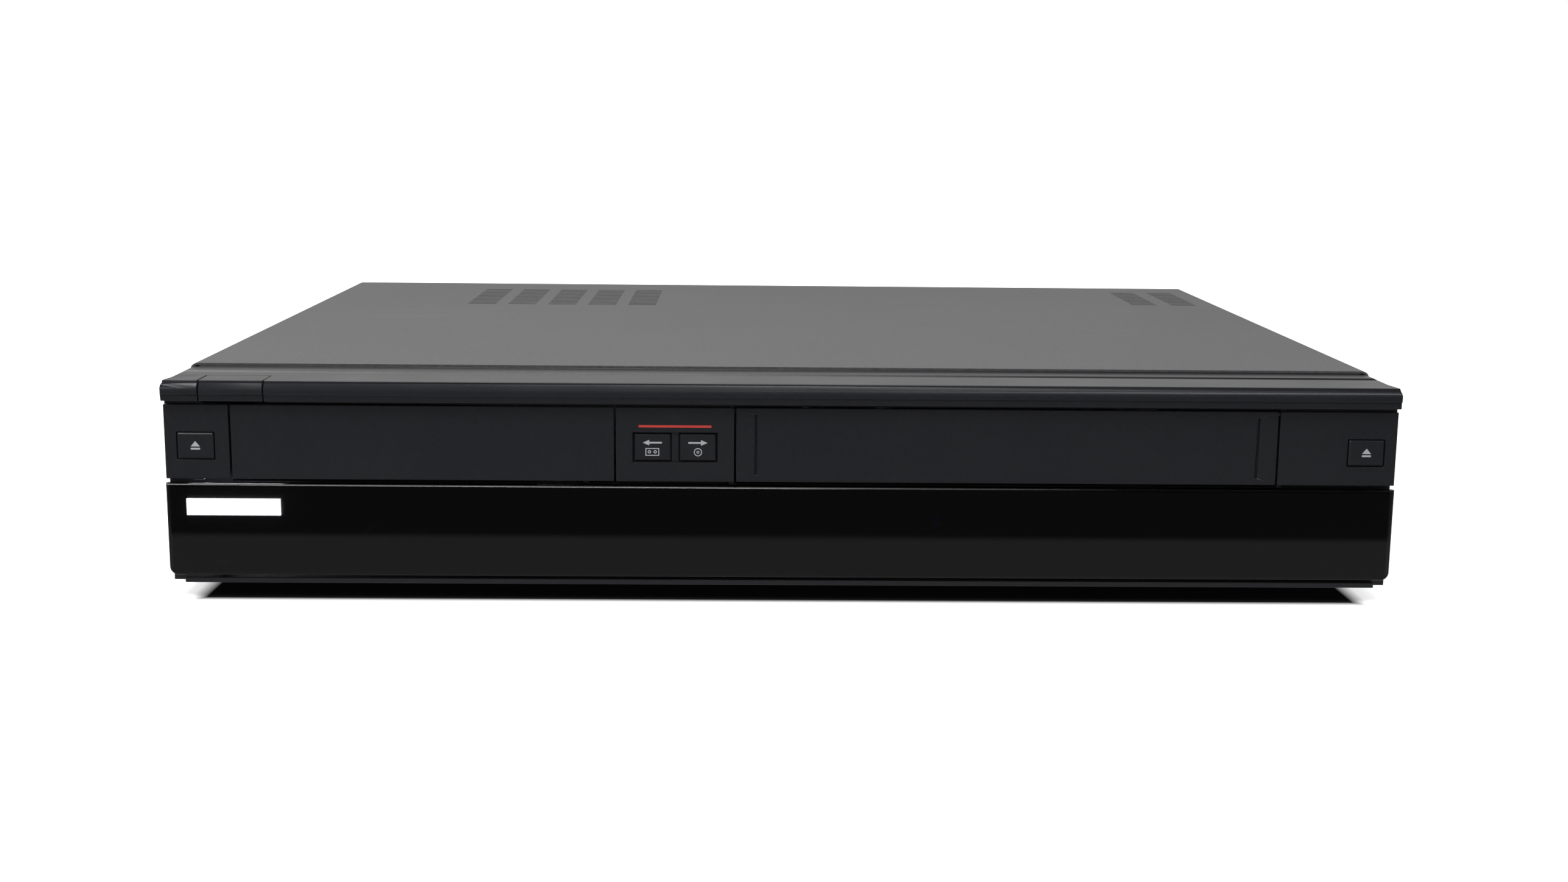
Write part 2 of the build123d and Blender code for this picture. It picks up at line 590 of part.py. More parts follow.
def front_bezel():
    shell = front_shell()
    top = BAND_TOP + FREE
    for middle, half in ((TRAY_X, TRAY_HALF_GAP), (TAPE_X, TAPE_HALF_GAP)):
        shell -= block(middle - half, middle + half, 0, FRAME_FRONT, OPENING_FLOOR, top)
    shell -= power_cut(SLIT)
    dub_left = DUB_LEFT_X - DUB_WIDTH / 2 - DUB_RECESS_MARGIN
    dub_right = DUB_RIGHT_X + DUB_WIDTH / 2 + DUB_RECESS_MARGIN
    dub_half = DUB_HEIGHT / 2 + DUB_RECESS_MARGIN
    shell -= block(dub_left, dub_right, BAND_FACE - INTO, BAND_FACE + DUB_RECESS_DROP,
                   DUB_Z - dub_half, DUB_Z + dub_half)
    for _, x, z, width, height, wall in button_places():
        shell -= block(x - width / 2 - SLIT, x + width / 2 + SLIT, wall[0] - INTO, wall[1] + INTO,
                       z - height / 2 - SLIT, z + height / 2 + SLIT)
        if wall[2] == BAND_BOARD_FACE:
            shell += board_boss(x, z - height / 2 - 3 * STANDOFF / 2 - BUTTON_LIP, wall)
    half = DISPLAY_WIDTH / 2
    shell -= block(DISPLAY_X - half, DISPLAY_X + half, FASCIA_FACE - INTO, FASCIA_BACK + INTO,
                   DISPLAY_BOTTOM, DISPLAY_TOP)
    for x in front_jack_places():
        shell -= peg(x, FRONT_JACK_Z, FASCIA_FACE - INTO, FASCIA_BACK + INTO, RCA_SLEEVE + RUN)
    for side in (-1, 1):
        shell += door_lug(side)
        for x in (FRONT_BOARD_HALF - 2 * STANDOFF, DISPLAY_WIDTH / 2 + 3 * STANDOFF):
            shell += square_peg(side * x, DOOR_TOP - 4 * STANDOFF, FASCIA_FACE + INTO, FRONT_BOARD_FACE,
                                STANDOFF)
        shell += flap_rib(side)
        bore_end = TAPE_X + side * (TAPE_HALF_GAP + RIB + INTO)
        shell -= axle(*sorted((TAPE_X, bore_end)), FLAP_AXIS, FLAP_AXIS_Z, FLAP_PIN + RUN)
    return shell


def board_boss(x, z, wall):
    """A boss that carries one of the boards behind the band."""
    return square_peg(x, z, wall[0] + INTO, wall[2], STANDOFF / 1.5)


def door_lug(side):
    """The ear that the drop door's pin turns in."""
    x0 = side * DOOR_LUG_X - DOOR_LUG_WIDTH / 2 + DOOR_POCKET_MARGIN
    x1 = side * DOOR_LUG_X + DOOR_LUG_WIDTH / 2 - DOOR_POCKET_MARGIN
    ear = axle(x0, x1, DOOR_AXIS, DOOR_AXIS_Z, DOOR_LUG)
    ear += block(x0, x1, DOOR_AXIS, FASCIA_FACE + INTO, DOOR_AXIS_Z - DOOR_LUG, DOOR_AXIS_Z + DOOR_LUG)
    return ear - axle(x0 - INTO, x1 + INTO, DOOR_AXIS, DOOR_AXIS_Z, DOOR_PIN + RUN)


def flap_rib(side):
    """The rib beside the cassette opening that carries a pin of its door."""
    edge = TAPE_X + side * TAPE_HALF_GAP
    x0, x1 = sorted((edge, edge + side * RIB))
    return block(x0, x1, BAND_BACK - INTO, FLAP_AXIS + 3 * FLAP_PIN, OPENING_FLOOR, SHELF_UNDER + INTO)


def front_door():
    """The smoked drop door, with its pins in the pockets that its hinge ears need."""
    half = HALF_WIDTH
    outline = Rectangle(WIDTH, DOOR_TOP - DOOR_BOTTOM)
    low = outline.vertices().sort_by(Axis.Y)[0:2]
    face = fillet(low, DOOR_CORNER)
    slab = extrude(Plane.XZ * face, amount=DOOR_THICK, dir=(0, 1, 0))
    slab = Pos(0, back(DOOR_FACE), (DOOR_TOP + DOOR_BOTTOM) / 2) * slab
    rims = slab.faces().sort_by(Axis.Y)[0].edges().sort_by(Axis.Z)
    slab = fillet(rims[-1:] + rims[0:1], DOOR_EDGE)
    depth = DOOR_FACE + DOOR_THICK
    for side in (-1, 1):
        x0 = side * DOOR_LUG_X - DOOR_LUG_WIDTH / 2
        x1 = side * DOOR_LUG_X + DOOR_LUG_WIDTH / 2
        skin = DOOR_AXIS - DOOR_LUG - DOOR_POCKET_MARGIN
        slab -= block(x0, x1, skin, depth + INTO, DOOR_BOTTOM - INTO, DOOR_AXIS_Z + DOOR_LUG + SLIT)
        slab += axle(x0 - INTO, x1 + INTO, DOOR_AXIS, DOOR_AXIS_Z, DOOR_PIN) & block(
            -half, half, DOOR_FACE, depth, DOOR_BOTTOM, DOOR_TOP) + axle(
            x0, x1, DOOR_AXIS, DOOR_AXIS_Z, DOOR_PIN)
    return slab


def power_button():
    """The stretch of brow and top that presses down, and its stem over the switch."""
    cap = front_shell() & power_cut(0) & block(POWER_LEFT, POWER_RIGHT, -INTO, POWER_BACK,
                                               BROW_BOTTOM, COVER_TOP)
    x = -EJECT_X + SWITCH_SIZE
    depth = BAND_BOARD_FACE - SWITCH_DEPTH
    stem = post(x, depth, power_switch_top() + POWER_TRAVEL + SWITCH_PLAY, SHELF_UNDER, BUTTON_STEM)
    return cap + stem


def power_switch_top():
    return EJECT_Z + EJECT_HEIGHT / 2 + SWITCH_SIZE


def display_filter():
    """The clear window behind the door, let into the fascia."""
    half = DISPLAY_WIDTH / 2
    pane = block(DISPLAY_X - half, DISPLAY_X + half, FASCIA_FACE, FASCIA_BACK, DISPLAY_BOTTOM, DISPLAY_TOP)
    rim = block(DISPLAY_X - half - WALL, DISPLAY_X + half + WALL, FASCIA_BACK, FASCIA_BACK + FLAP_THICK,
                DISPLAY_BOTTOM - WALL, DISPLAY_TOP + WALL)
    return pane + rim


def display_tube():
    """The flat glass display on the front board, with its exhaust tip."""
    half = DISPLAY_WIDTH / 2 - 3 * WALL
    glass = block(DISPLAY_X - half, DISPLAY_X + half, FASCIA_BACK + 2 * FLAP_THICK, FRONT_BOARD_FACE,
                  DISPLAY_BOTTOM + FREE, FRONT_BOARD_TOP - FREE)
    return chamfer(glass.edges().filter_by(Axis.Y), WALL)


def indicator_bar():
    """The lit bar behind the left end of the door."""
    return block(LAMP_LEFT, LAMP_RIGHT, FASCIA_FACE - INTO, FASCIA_FACE, LAMP_BOTTOM, LAMP_TOP)


def front_board():
    return block(-FRONT_BOARD_HALF, FRONT_BOARD_HALF, FRONT_BOARD_FACE, FRONT_BOARD_FACE + BOARD,
                 FRONT_BOARD_BOTTOM, FRONT_BOARD_TOP)


def band_boards():
    """The three small boards behind the band, one to each group of buttons."""
    rear = BAND_BOARD_FACE + BOARD
    half = EJECT_WIDTH / 2 + BUTTON_LIP
    low = EJECT_Z - EJECT_HEIGHT / 2 - 3 * STANDOFF
    left = block(-EJECT_X - half, -EJECT_X + half, BAND_BOARD_FACE, rear, low, power_switch_top())
    right = block(EJECT_X - half, EJECT_X + half, BAND_BOARD_FACE, rear, low, EJECT_Z + EJECT_HEIGHT / 2)
    middle = block(DUB_LEFT_X - half, DUB_RIGHT_X + half, BAND_BOARD_FACE, rear, low,
                   DUB_Z + DUB_HEIGHT / 2)
    return Compound(children=[left, middle, right])


def tact_switches():
    """One switch behind each button, with its square plunger."""
    switches = []
    half = SWITCH_SIZE / 2
    plunger = 3 * SWITCH_PLAY
    for _, x, z, _, _, wall in button_places():
        front = wall[2] - SWITCH_DEPTH
        body = block(x - half, x + half, front + plunger, wall[2], z - half, z + half)
        switches.append(body + square_peg(x, z, front, front + plunger, BUTTON_STEM))
    x = -EJECT_X + SWITCH_SIZE
    top = power_switch_top()
    depth = BAND_BOARD_FACE - SWITCH_DEPTH
    body = block(x - half, x + half, depth - half, BAND_BOARD_FACE, top - SWITCH_DEPTH, top - plunger)
    switches.append(body + pressed_post(x, depth, top - plunger, top, BUTTON_STEM))
    return Compound(children=switches)


def front_jack_places():
    middle = (FRONT_JACK_COUNT - 1) / 2
    return [FRONT_JACK_X + (number - middle) * FRONT_JACK_PITCH for number in range(FRONT_JACK_COUNT)]


def front_jacks():
    """Three phono sockets behind the door, in one block on the front board."""
    row = block(FRONT_JACK_X - FRONT_JACK_PITCH - RCA_COLLAR, FRONT_JACK_X + FRONT_JACK_PITCH + RCA_COLLAR,
                FASCIA_BACK, FRONT_BOARD_FACE, FRONT_JACK_Z - RCA_COLLAR, FRONT_JACK_Z + RCA_COLLAR)
    for x in front_jack_places():
        row += peg(x, FRONT_JACK_Z, FASCIA_FACE - INTO, FASCIA_BACK + INTO, RCA_SLEEVE)
        row -= square_peg(x, FRONT_JACK_Z, FASCIA_FACE - 2 * INTO, FASCIA_FACE - INTO + RCA_LENGTH, RCA_BORE)
    return row


# ---------------------------------------------------------------- casing
def pan():
    """The steel pan: a floor, three upturned flanges and the pressed pillars on it."""
    rear = REAR_FACE - REAR_SHEET
    floor = block(-PAN_HALF, PAN_HALF, PAN_FRONT, rear, PAN_BOTTOM, PAN_TOP)
    side = block(PAN_HALF - PAN_SHEET, PAN_HALF, COVER_FRONT + INTO, rear, PAN_TOP, PAN_FLANGE)
    shape = floor + side + mirrored(side)
    for x, depth in deck_pillars():
        shape += pressed_post(x, depth, PAN_TOP, DECK_Z, PILLAR)
    for x, depth in board_standoffs():
        shape += pressed_post(x, depth, PAN_TOP, BOARD_Z, STANDOFF)
    for x in (TRAY_X - FRAME_HALF + FRAME_LEG, TRAY_X + FRAME_HALF - FRAME_LEG):
        for depth in (FRAME_LEG_FRONT, FRAME_REAR - FRAME_LEG):
            shape += post(x, depth, PAN_TOP, BOARD_Z, FRAME_LEG)
    return shape


def deck_pillars():
    return [(x, depth) for x in (DECK_LEFT + 2 * PILLAR, DECK_RIGHT - 2 * PILLAR)
            for depth in (DECK_FRONT + 2 * PILLAR, DECK_REAR - 2 * PILLAR)]


def board_standoffs():
    """One standoff near each corner of each flat board."""
    places = []
    for x0, x1, depth0, depth1 in BOARDS.values():
        inset = 2 * STANDOFF
        places += [(x, depth) for x in (x0 + inset, x1 - inset) for depth in (depth0 + inset, depth1 - inset)]
    return places


def flat_board(name):
    x0, x1, depth0, depth1 = BOARDS[name]
    return block(x0, x1, depth0, depth1, BOARD_Z, BOARD_Z + BOARD)


def vent_slots():
    """The slots of every block on the cover's top, as the solids that cut them."""
    blocks = [
        (LEFT_VENT_X, LEFT_VENT_COUNT, LEFT_VENT_PITCH, LEFT_VENT_LENGTH, LEFT_VENT_START, LEFT_VENT_SLOTS),
        (RIGHT_VENT_X, RIGHT_VENT_COUNT, RIGHT_VENT_PITCH, RIGHT_VENT_LENGTH, RIGHT_VENT_START,
         RIGHT_VENT_SLOTS)]
    slots = []
    for middle, count, pitch, length, start, rows in blocks:
        for column in range(count):
            x = middle + (column - (count - 1) / 2) * pitch
            for row in range(rows):
                depth = start + row * SLOT_PITCH
                slots.append(block(x - length / 2, x + length / 2, depth, depth + SLOT_WIDTH,
                                   COVER_UNDER - INTO, COVER_TOP + INTO))
    return slots


def top_cover():
    """The bent steel cover: a top and two sides in one sheet, with its vent slots."""
    half = HALF_WIDTH - COVER_INSET
    length = COVER_REAR - COVER_FRONT
    depth = (COVER_REAR + COVER_FRONT) / 2
    outer = Rectangle(2 * half, COVER_TOP - COVER_SIDE_BOTTOM)
    outer = fillet(outer.vertices().sort_by(Axis.Y)[2:4], COVER_BEND)
    inner_width = 2 * (half - COVER_SHEET)
    inner = Pos(0, -COVER_SHEET) * Rectangle(inner_width, COVER_TOP - COVER_SIDE_BOTTOM)
    inner = fillet(inner.vertices().sort_by(Axis.Y)[2:4], COVER_BEND - COVER_SHEET)
    sheet = extrude(Plane.XZ * (outer - inner), amount=length, dir=(0, 1, 0))
    sheet = Pos(0, back(depth) - length / 2, (COVER_TOP + COVER_SIDE_BOTTOM) / 2) * sheet
    return sheet - vent_slots()


def rear_jack_places():
    """The phono sockets on the rear: name of the block, x and z of each."""
    starts = {"tape_jack_block": REAR_HALF - TAPE_JACK_INSET, "disc_jack_block": REAR_HALF - DISC_JACK_INSET}
    return {name: [(start + column * RCA_PITCH, RCA_LOW + row * RCA_PITCH)
                   for column in range(RCA_COLUMNS) for row in range(RCA_ROWS)]
            for name, start in starts.items()}


def rear_cut(x, z, half_width, half_height):
    """The solid that cuts a rectangular opening in the rear plate."""
    return block(x - half_width, x + half_width, REAR_INNER - INTO, REAR_FACE + INTO,
                 z - half_height, z + half_height)


def rear_panel():
    """The rear plate, with an opening for every socket and a grille beside the power board."""
    plate = block(-REAR_HALF, REAR_HALF, REAR_INNER, REAR_FACE, PAN_BOTTOM, COVER_UNDER)
    for places in rear_jack_places().values():
        x0, x1, z0, z1 = jack_window(places)
        plate -= rear_cut((x0 + x1) / 2, (z0 + z1) / 2, (x1 - x0) / 2 + FREE, (z1 - z0) / 2 + FREE)
    for z in ANTENNA_HEIGHTS:
        plate -= peg(ANTENNA_X, z, REAR_INNER - INTO, REAR_FACE + INTO, ANTENNA_RADIUS + FREE)
    for x, z, half_width, half_height in SOCKETS.values():
        plate -= rear_cut(x, z, half_width + FREE, half_height + FREE)
    plate -= rear_cut(INLET_X, INLET_Z, INLET_HALF, INLET_HALF)
    for column in range(REAR_GRILLE_COLUMNS):
        x = LEFT_VENT_X + (column - (REAR_GRILLE_COLUMNS - 1) / 2) * REAR_GRILLE_PITCH
        for row in range(REAR_GRILLE_ROWS):
            z = REAR_GRILLE_BOTTOM + row * SLOT_PITCH + SLOT_WIDTH / 2
            plate -= rear_cut(x, z, REAR_GRILLE_SLOT / 2, SLOT_WIDTH / 2)
    return plate


def jack_window(places):
    """The left, right, bottom and top of a block's face in the rear plate."""
    xs = [x for x, _ in places]
    zs = [z for _, z in places]
    return min(xs) - RCA_COLLAR, max(xs) + RCA_COLLAR, min(zs) - RCA_COLLAR, max(zs) + RCA_COLLAR


def jack_block(places):
    """A block of phono sockets that stands on its board, its face flush with the rear plate."""
    x0, x1, z0, z1 = jack_window(places)
    front = REAR_INNER - RCA_PITCH
    body = block(x0, x1, front, REAR_INNER - FREE, BOARD_Z + BOARD, z1)
    body += block(x0, x1, front, REAR_FACE, z0, z1)
    end = OVERALL_DEPTH
    for x, z in places:
        body += peg(x, z, REAR_INNER, end, RCA_SLEEVE)
        body -= square_peg(x, z, end - RCA_LENGTH, end + INTO, RCA_BORE)
    return body


def signal_socket(name):
    """A small rear socket in its shell, open to the rear, on its board."""
    x, z, half_width, half_height = SOCKETS[name]
    rim = COVER_SHEET
    mouth = REAR_FACE + 2 * INTO
    inner_width = half_width - rim
    inner_height = half_height - rim
    floor = REAR_FACE - RCA_LENGTH if name == "hdmi_socket" else REAR_FACE
    shell = block(x - half_width, x + half_width, REAR_INNER - RCA_PITCH, REAR_FACE + INTO,
                  z - half_height, z + half_height)
    if name == "s_video_socket":
        shell -= peg(x, z, floor, mouth, inner_height)
        for turn in (45, 135, 225, 315):
            pin_x = x + half_height / 2 * cos(radians(turn))
            pin_z = z + half_height / 2 * sin(radians(turn))
            shell -= square_peg(pin_x, pin_z, REAR_FACE - RCA_LENGTH / 2, mouth, rim / 2)
        return shell
    shell -= block(x - inner_width, x + inner_width, floor, mouth, z - inner_height, z + inner_height)
    if name == "hdmi_socket":
        tongue = inner_width - rim
        shell += block(x - tongue, x + tongue, floor - INTO, REAR_FACE, z - rim, z + rim)
    return shell


def signal_stand():
    """The upright card that carries the small rear sockets above their board."""
    x = SOCKETS["optical_socket"][0]
    rear = REAR_INNER - RCA_PITCH
    return block(x - SIGNAL_CARD_LEFT, x + SIGNAL_CARD_RIGHT, rear - BOARD, rear, BOARD_Z + BOARD,
                 SIGNAL_CARD_TOP)


def tuner():
    """The screened tuner, a folded can with a lid seam, on its board."""
    left, right = ANTENNA_X - TUNER_HALF, ANTENNA_X + TUNER_HALF
    front = REAR_INNER - 2 * RCA_PITCH
    can = block(left, right, front, REAR_INNER, BOARD_Z + BOARD, TUNER_TOP)
    lid = block(left - COVER_SHEET, right + COVER_SHEET, front - COVER_SHEET, REAR_INNER - INTO,
                TUNER_LID_BOTTOM, TUNER_TOP + COVER_SHEET)
    return can + lid


def antenna_connectors():
    """The two threaded aerial sockets that stand on the tuner."""
    sockets = []
    for z in ANTENNA_HEIGHTS:
        barrel = peg(ANTENNA_X, z, REAR_INNER, OVERALL_DEPTH, ANTENNA_RADIUS)
        hole = square_peg(ANTENNA_X, z, OVERALL_DEPTH - RCA_LENGTH, OVERALL_DEPTH + INTO, ANTENNA_BORE)
        sockets.append(barrel - hole)
    return Compound(children=sockets)


def mains_gland():
    """The empty bush in the rear plate where the mains lead comes out."""
    x, z = INLET_X, INLET_Z
    outer = INLET_HALF + INLET_COLLAR
    core = block(x - INLET_HALF, x + INLET_HALF, REAR_FACE - 2 * INLET_HALF, REAR_FACE + INLET_COLLAR + INTO,
                 z - INLET_HALF, z + INLET_HALF)
    collar = block(x - outer, x + outer, REAR_FACE, REAR_FACE + INLET_COLLAR, z - outer, z + outer)
    return core + collar - block(x - LEAD_WIDTH / 2, x + LEAD_WIDTH / 2, REAR_FACE - 3 * INLET_HALF,
                                 REAR_FACE + INLET_HALF, z - LEAD_THICK / 2, z + LEAD_THICK / 2)


def feet():
    """Four round feet, each with a rim and a shallow hollow under it."""
    places = [(side * FOOT_X, depth) for side in (-1, 1) for depth in (FOOT_FRONT, FOOT_BACK)]
    standing = []
    for x, depth in places:
        foot = post(x, depth, 0, PAN_BOTTOM, FOOT_RADIUS)
        foot -= post(x, depth, -1, FOOT_HOLLOW, FOOT_RADIUS - FOOT_RIM)
        standing.append(foot)
    return Compound(children=standing)


def transformer():
    """The switching transformer: a laminated core round its bobbin."""
    x, z = POWER_BOARD_LEFT + CORE_INSET, BOARD_Z + BOARD
    front, rear = POWER_MIDDLE - BOBBIN_HALF, POWER_MIDDLE + BOBBIN_HALF
    low, high = z + CORE_LEG, z + CORE_HEIGHT - CORE_LEG
    core = block(x - CORE_HALF, x + CORE_HALF, POWER_MIDDLE - CORE_HALF_DEPTH, POWER_MIDDLE + CORE_HALF_DEPTH,
                 z, z + CORE_HEIGHT)
    core -= block(x - CORE_HALF - INTO, x + CORE_HALF + INTO, front, rear, low, high)
    return core + block(x - BOBBIN_HALF, x + BOBBIN_HALF, front, rear, low, high)


def heat_sink():
    """The finned plate that cools the power board's switching part."""
    x, z = POWER_BOARD_LEFT + SINK_INSET, BOARD_Z + BOARD
    front, rear = POWER_MIDDLE - SINK_HALF_DEPTH, POWER_MIDDLE + SINK_HALF_DEPTH
    plate = block(x - SINK_PLATE / 2, x + SINK_PLATE / 2, front, rear, z, z + SINK_HEIGHT)
    for number in range(SINK_FIN_COUNT):
        low = z + (number + 1) * SINK_FIN_PITCH
        plate += block(x - SINK_FIN_HALF, x + SINK_FIN_HALF, front, rear, low, low + SINK_FIN)
    return plate


def capacitors():
    """The power board's upright capacitors."""
    z = BOARD_Z + BOARD
    return Compound(children=[
        post(POWER_BOARD_LEFT + x, POWER_BOARD_FRONT + depth, z, z + height, radius)
        for x, depth, radius, height in CAPACITORS])


def screw(place, direction):
    """The head of a sheet-metal screw, on the outside of the sheet."""
    head = Pos(0, 0, SCREW_HEAD_THICK / 2) * Cylinder(SCREW_HEAD, SCREW_HEAD_THICK)
    return Location(Plane(origin=place, z_dir=direction)) * head


def cover_screws():
    """Two screws on each side of the cover and three through the rear plate."""
    screws = []
    side_x = HALF_WIDTH - COVER_INSET
    for side in (-1, 1):
        for depth in (COVER_FRONT + SCREW_BACK, COVER_REAR - SCREW_FORWARD):
            screws.append(screw((side * side_x, back(depth), SCREW_Z), (side, 0, 0)))
    for x in (-REAR_SCREW_SPREAD, 0, REAR_SCREW_SPREAD):
        screws.append(screw((x, back(REAR_FACE), COVER_UNDER - REAR_SCREW_DROP), (0, 1, 0)))
    return Compound(children=screws)


# ---------------------------------------------------------------- disc drive
def tray_front():
    """The plate that closes the disc opening, with the gussets that join it to the tray."""
    half = TRAY_FRONT_WIDTH / 2
    rear = BAND_FACE + TRAY_FRONT_THICK
    plate = block(TRAY_X - half, TRAY_X + half, BAND_FACE, rear, BAND_BOTTOM, BAND_TOP)
    top = TRAY_UNDER + TRAY_THICK
    gusset = across([(rear, top), (rear + TRAY_GUSSET, top), (rear, top + TRAY_GUSSET)], 0, WALL)
    for place in (-3, -1, 1, 3):
        plate += Pos(TRAY_X + place * half / 4, 0, 0) * gusset
    return plate


def rack():
    """The toothed bar under the tray, its teeth towards the pinion."""
    pitch_line = PINION_X + PINION_RADIUS
    start = BAND_FACE + TRAY_FRONT_THICK
    end = start + TRAY_LENGTH
    root = pitch_line + TOOTH_DEDENDUM
    count = int((end - start) / TOOTH_PITCH)
    first = PINION_AT + TOOTH_PITCH / 2 - TOOTH_PITCH * int((PINION_AT - start) / TOOTH_PITCH)
    outline = [(root + RACK_BACK, back(start)), (root, back(start))]
    slope = (TOOTH_WIDTH - TOOTH_TIP) / (2 * TOOTH_ADDENDUM)
    foot = TOOTH_WIDTH / 2 + slope * TOOTH_DEDENDUM
    for number in range(count):
        y = back(first + number * TOOTH_PITCH)
        if y + foot < back(end):
            outline += [(root, y - foot), (pitch_line - TOOTH_ADDENDUM, y - TOOTH_TIP / 2),
                        (pitch_line - TOOTH_ADDENDUM, y + TOOTH_TIP / 2), (root, y + foot)]
    outline += [(root, back(end)), (root + RACK_BACK, back(end))]
    return upright(outline, OPENING_FLOOR + FREE, TRAY_UNDER)


def disc_tray():
    """The tray: stepped recesses for two sizes of disc, a slot for the drive and a rack below."""
    start = BAND_FACE + TRAY_FRONT_THICK
    end = start + TRAY_LENGTH
    top = TRAY_UNDER + TRAY_THICK
    tray = block(TRAY_X - TRAY_HALF, TRAY_X + TRAY_HALF, start, end, TRAY_UNDER, top)
    tray = fillet(tray.edges().filter_by(Axis.Z).sort_by(Axis.Y)[2:4], DOOR_CORNER)
    out = TRAY_HALF + TRAY_RUNNER
    tray += block(TRAY_X - out, TRAY_X + out, start + FRAME_FRONT, end - DOOR_CORNER,
                  TRAY_UNDER, TRAY_UNDER + TRAY_RUNNER_THICK)
    tray -= post(TRAY_X, DISC_AT, top - DISC_DROP, top + INTO, DISC_RADIUS)
    tray -= post(TRAY_X, DISC_AT, top - DISC_DROP - SMALL_DISC_DROP, top, SMALL_DISC_RADIUS)
    tray -= post(TRAY_X, DISC_AT, TRAY_UNDER - INTO, top, TRAY_SLOT_HALF)
    tray -= block(TRAY_X - TRAY_SLOT_HALF, TRAY_X + TRAY_SLOT_HALF, DISC_AT, end + INTO,
                  TRAY_UNDER - INTO, top + INTO)
    return tray + rack()


def loader_frame():
    """The moulded frame of the drive: floor, side walls, rails, pivots and legs."""
    left, right = TRAY_X - FRAME_HALF, TRAY_X + FRAME_HALF
    floor_top = FRAME_FLOOR + FRAME_WALL
    frame = block(left, right, FRAME_FRONT, FRAME_REAR, FRAME_FLOOR, FRAME_TOP)
    frame -= block(left + FRAME_WALL, right - FRAME_WALL, FRAME_FRONT - INTO, FRAME_REAR + INTO,
                   floor_top, FRAME_TOP + INTO)
    inner = FRAME_HALF - FRAME_WALL
    ledge = TRAY_HALF + 2 * FREE
    for low in (TRAY_UNDER - FREE - WALL, TRAY_UNDER + TRAY_RUNNER_THICK + FREE):
        for side in (-1, 1):
            x0, x1 = sorted((TRAY_X + side * ledge, TRAY_X + side * inner))
            frame += block(x0, x1, FRAME_FRONT, FRAME_REAR, low, low + WALL)
    reach = TRAVERSE_HALF + TRAVERSE_WINDOW
    frame -= block(TRAY_X - reach, TRAY_X + reach, TRAVERSE_FRONT - TRAVERSE_WINDOW,
                   TRAVERSE_REAR + TRAVERSE_WINDOW, FRAME_FLOOR - INTO, floor_top + INTO)
    for side in (-1, 1):
        x0, x1 = sorted((TRAY_X + side * (reach + FREE), TRAY_X + side * (reach + FREE + TRAVERSE_BOSS)))
        boss = block(x0, x1, TRAVERSE_AXIS - TRAVERSE_BOSS, TRAVERSE_AXIS + TRAVERSE_BOSS,
                     floor_top, traverse_axis_z() + TRAVERSE_BOSS)
        frame += boss - axle(x0 - INTO, x1 + INTO, TRAVERSE_AXIS, traverse_axis_z(), TRAVERSE_PIN + RUN)
        for depth in (FRAME_LEG_FRONT, FRAME_REAR - FRAME_LEG):
            frame += post(TRAY_X + side * (FRAME_HALF - FRAME_LEG), depth, BOARD_Z, FRAME_FLOOR, FRAME_LEG)
    frame += post(PINION_X, PINION_AT, floor_top, TRAY_UNDER - 2 * FREE, PINION_AXLE)
    return frame - post(MOTOR_X, MOTOR_AT, FRAME_FLOOR - INTO, floor_top + INTO, MOTOR_SHAFT + FREE)


def traverse_axis_z():
    return TRAVERSE_UNDER + TRAVERSE_SHEET / 2


def pinion():
    """The pulley and the pinion above it, moulded as one wheel."""
    low = FRAME_FLOOR + FRAME_WALL + FREE
    slope = (TOOTH_WIDTH - TOOTH_TIP) / (2 * TOOTH_ADDENDUM)
    foot = TOOTH_WIDTH / 2 + slope * TOOTH_DEDENDUM
    root = PINION_RADIUS - TOOTH_DEDENDUM
    tip = PINION_RADIUS + TOOTH_ADDENDUM
    outline = []
    for number in range(PINION_TEETH):
        turn = Rot(0, 0, number * 360 / PINION_TEETH)
        for radius, half in ((root, -foot), (tip, -TOOTH_TIP / 2), (tip, TOOTH_TIP / 2), (root, foot)):
            corner = (turn * Pos(radius, half, 0)).position
            outline.append((PINION_X + corner.X, back(PINION_AT) + corner.Y))
    wheel = upright(outline, low + PULLEY_THICK, TRAY_UNDER - FREE)
    wheel += grooved_wheel(PINION_X, PINION_AT, low, PULLEY_RADIUS)
    return wheel - post(PINION_X, PINION_AT, low - INTO, TRAY_UNDER, PINION_AXLE + RUN)


def grooved_wheel(x, depth, low, radius):
    """A pulley with a square groove for the belt."""
    rim = (PULLEY_THICK - BELT - 2 * SLOT_PLAY) / 2
    wheel = post(x, depth, low, low + PULLEY_THICK, radius)
    ring = post(x, depth, low + rim, low + PULLEY_THICK - rim, radius + INTO)
    return wheel - (ring - post(x, depth, low, low + PULLEY_THICK, radius - PULLEY_GROOVE))


def motor_pulley():
    """The small pulley and the motor's shaft that carries it."""
    low = FRAME_FLOOR + FRAME_WALL + FREE
    wheel = grooved_wheel(MOTOR_X, MOTOR_AT, low, MOTOR_PULLEY_RADIUS)
    return wheel + post(MOTOR_X, MOTOR_AT, FRAME_FLOOR - MOTOR_HEIGHT / 2, low, MOTOR_SHAFT)


def loading_belt():
    """The square belt round both pulleys, with its two straight strands."""
    low = FRAME_FLOOR + FRAME_WALL + FREE + (PULLEY_THICK - BELT) / 2
    loops = []
    for grow in (FREE, FREE + BELT):
        rounds = [Pos(x, back(depth)) * Circle(radius - PULLEY_GROOVE + grow)
                  for x, depth, radius in ((PINION_X, PINION_AT, PULLEY_RADIUS),
                                           (MOTOR_X, MOTOR_AT, MOTOR_PULLEY_RADIUS))]
        loops.append(make_hull([edge for disc in rounds for edge in disc.edges()]))
    return Pos(0, 0, low) * extrude(loops[1] - loops[0], amount=BELT, dir=(0, 0, 1))


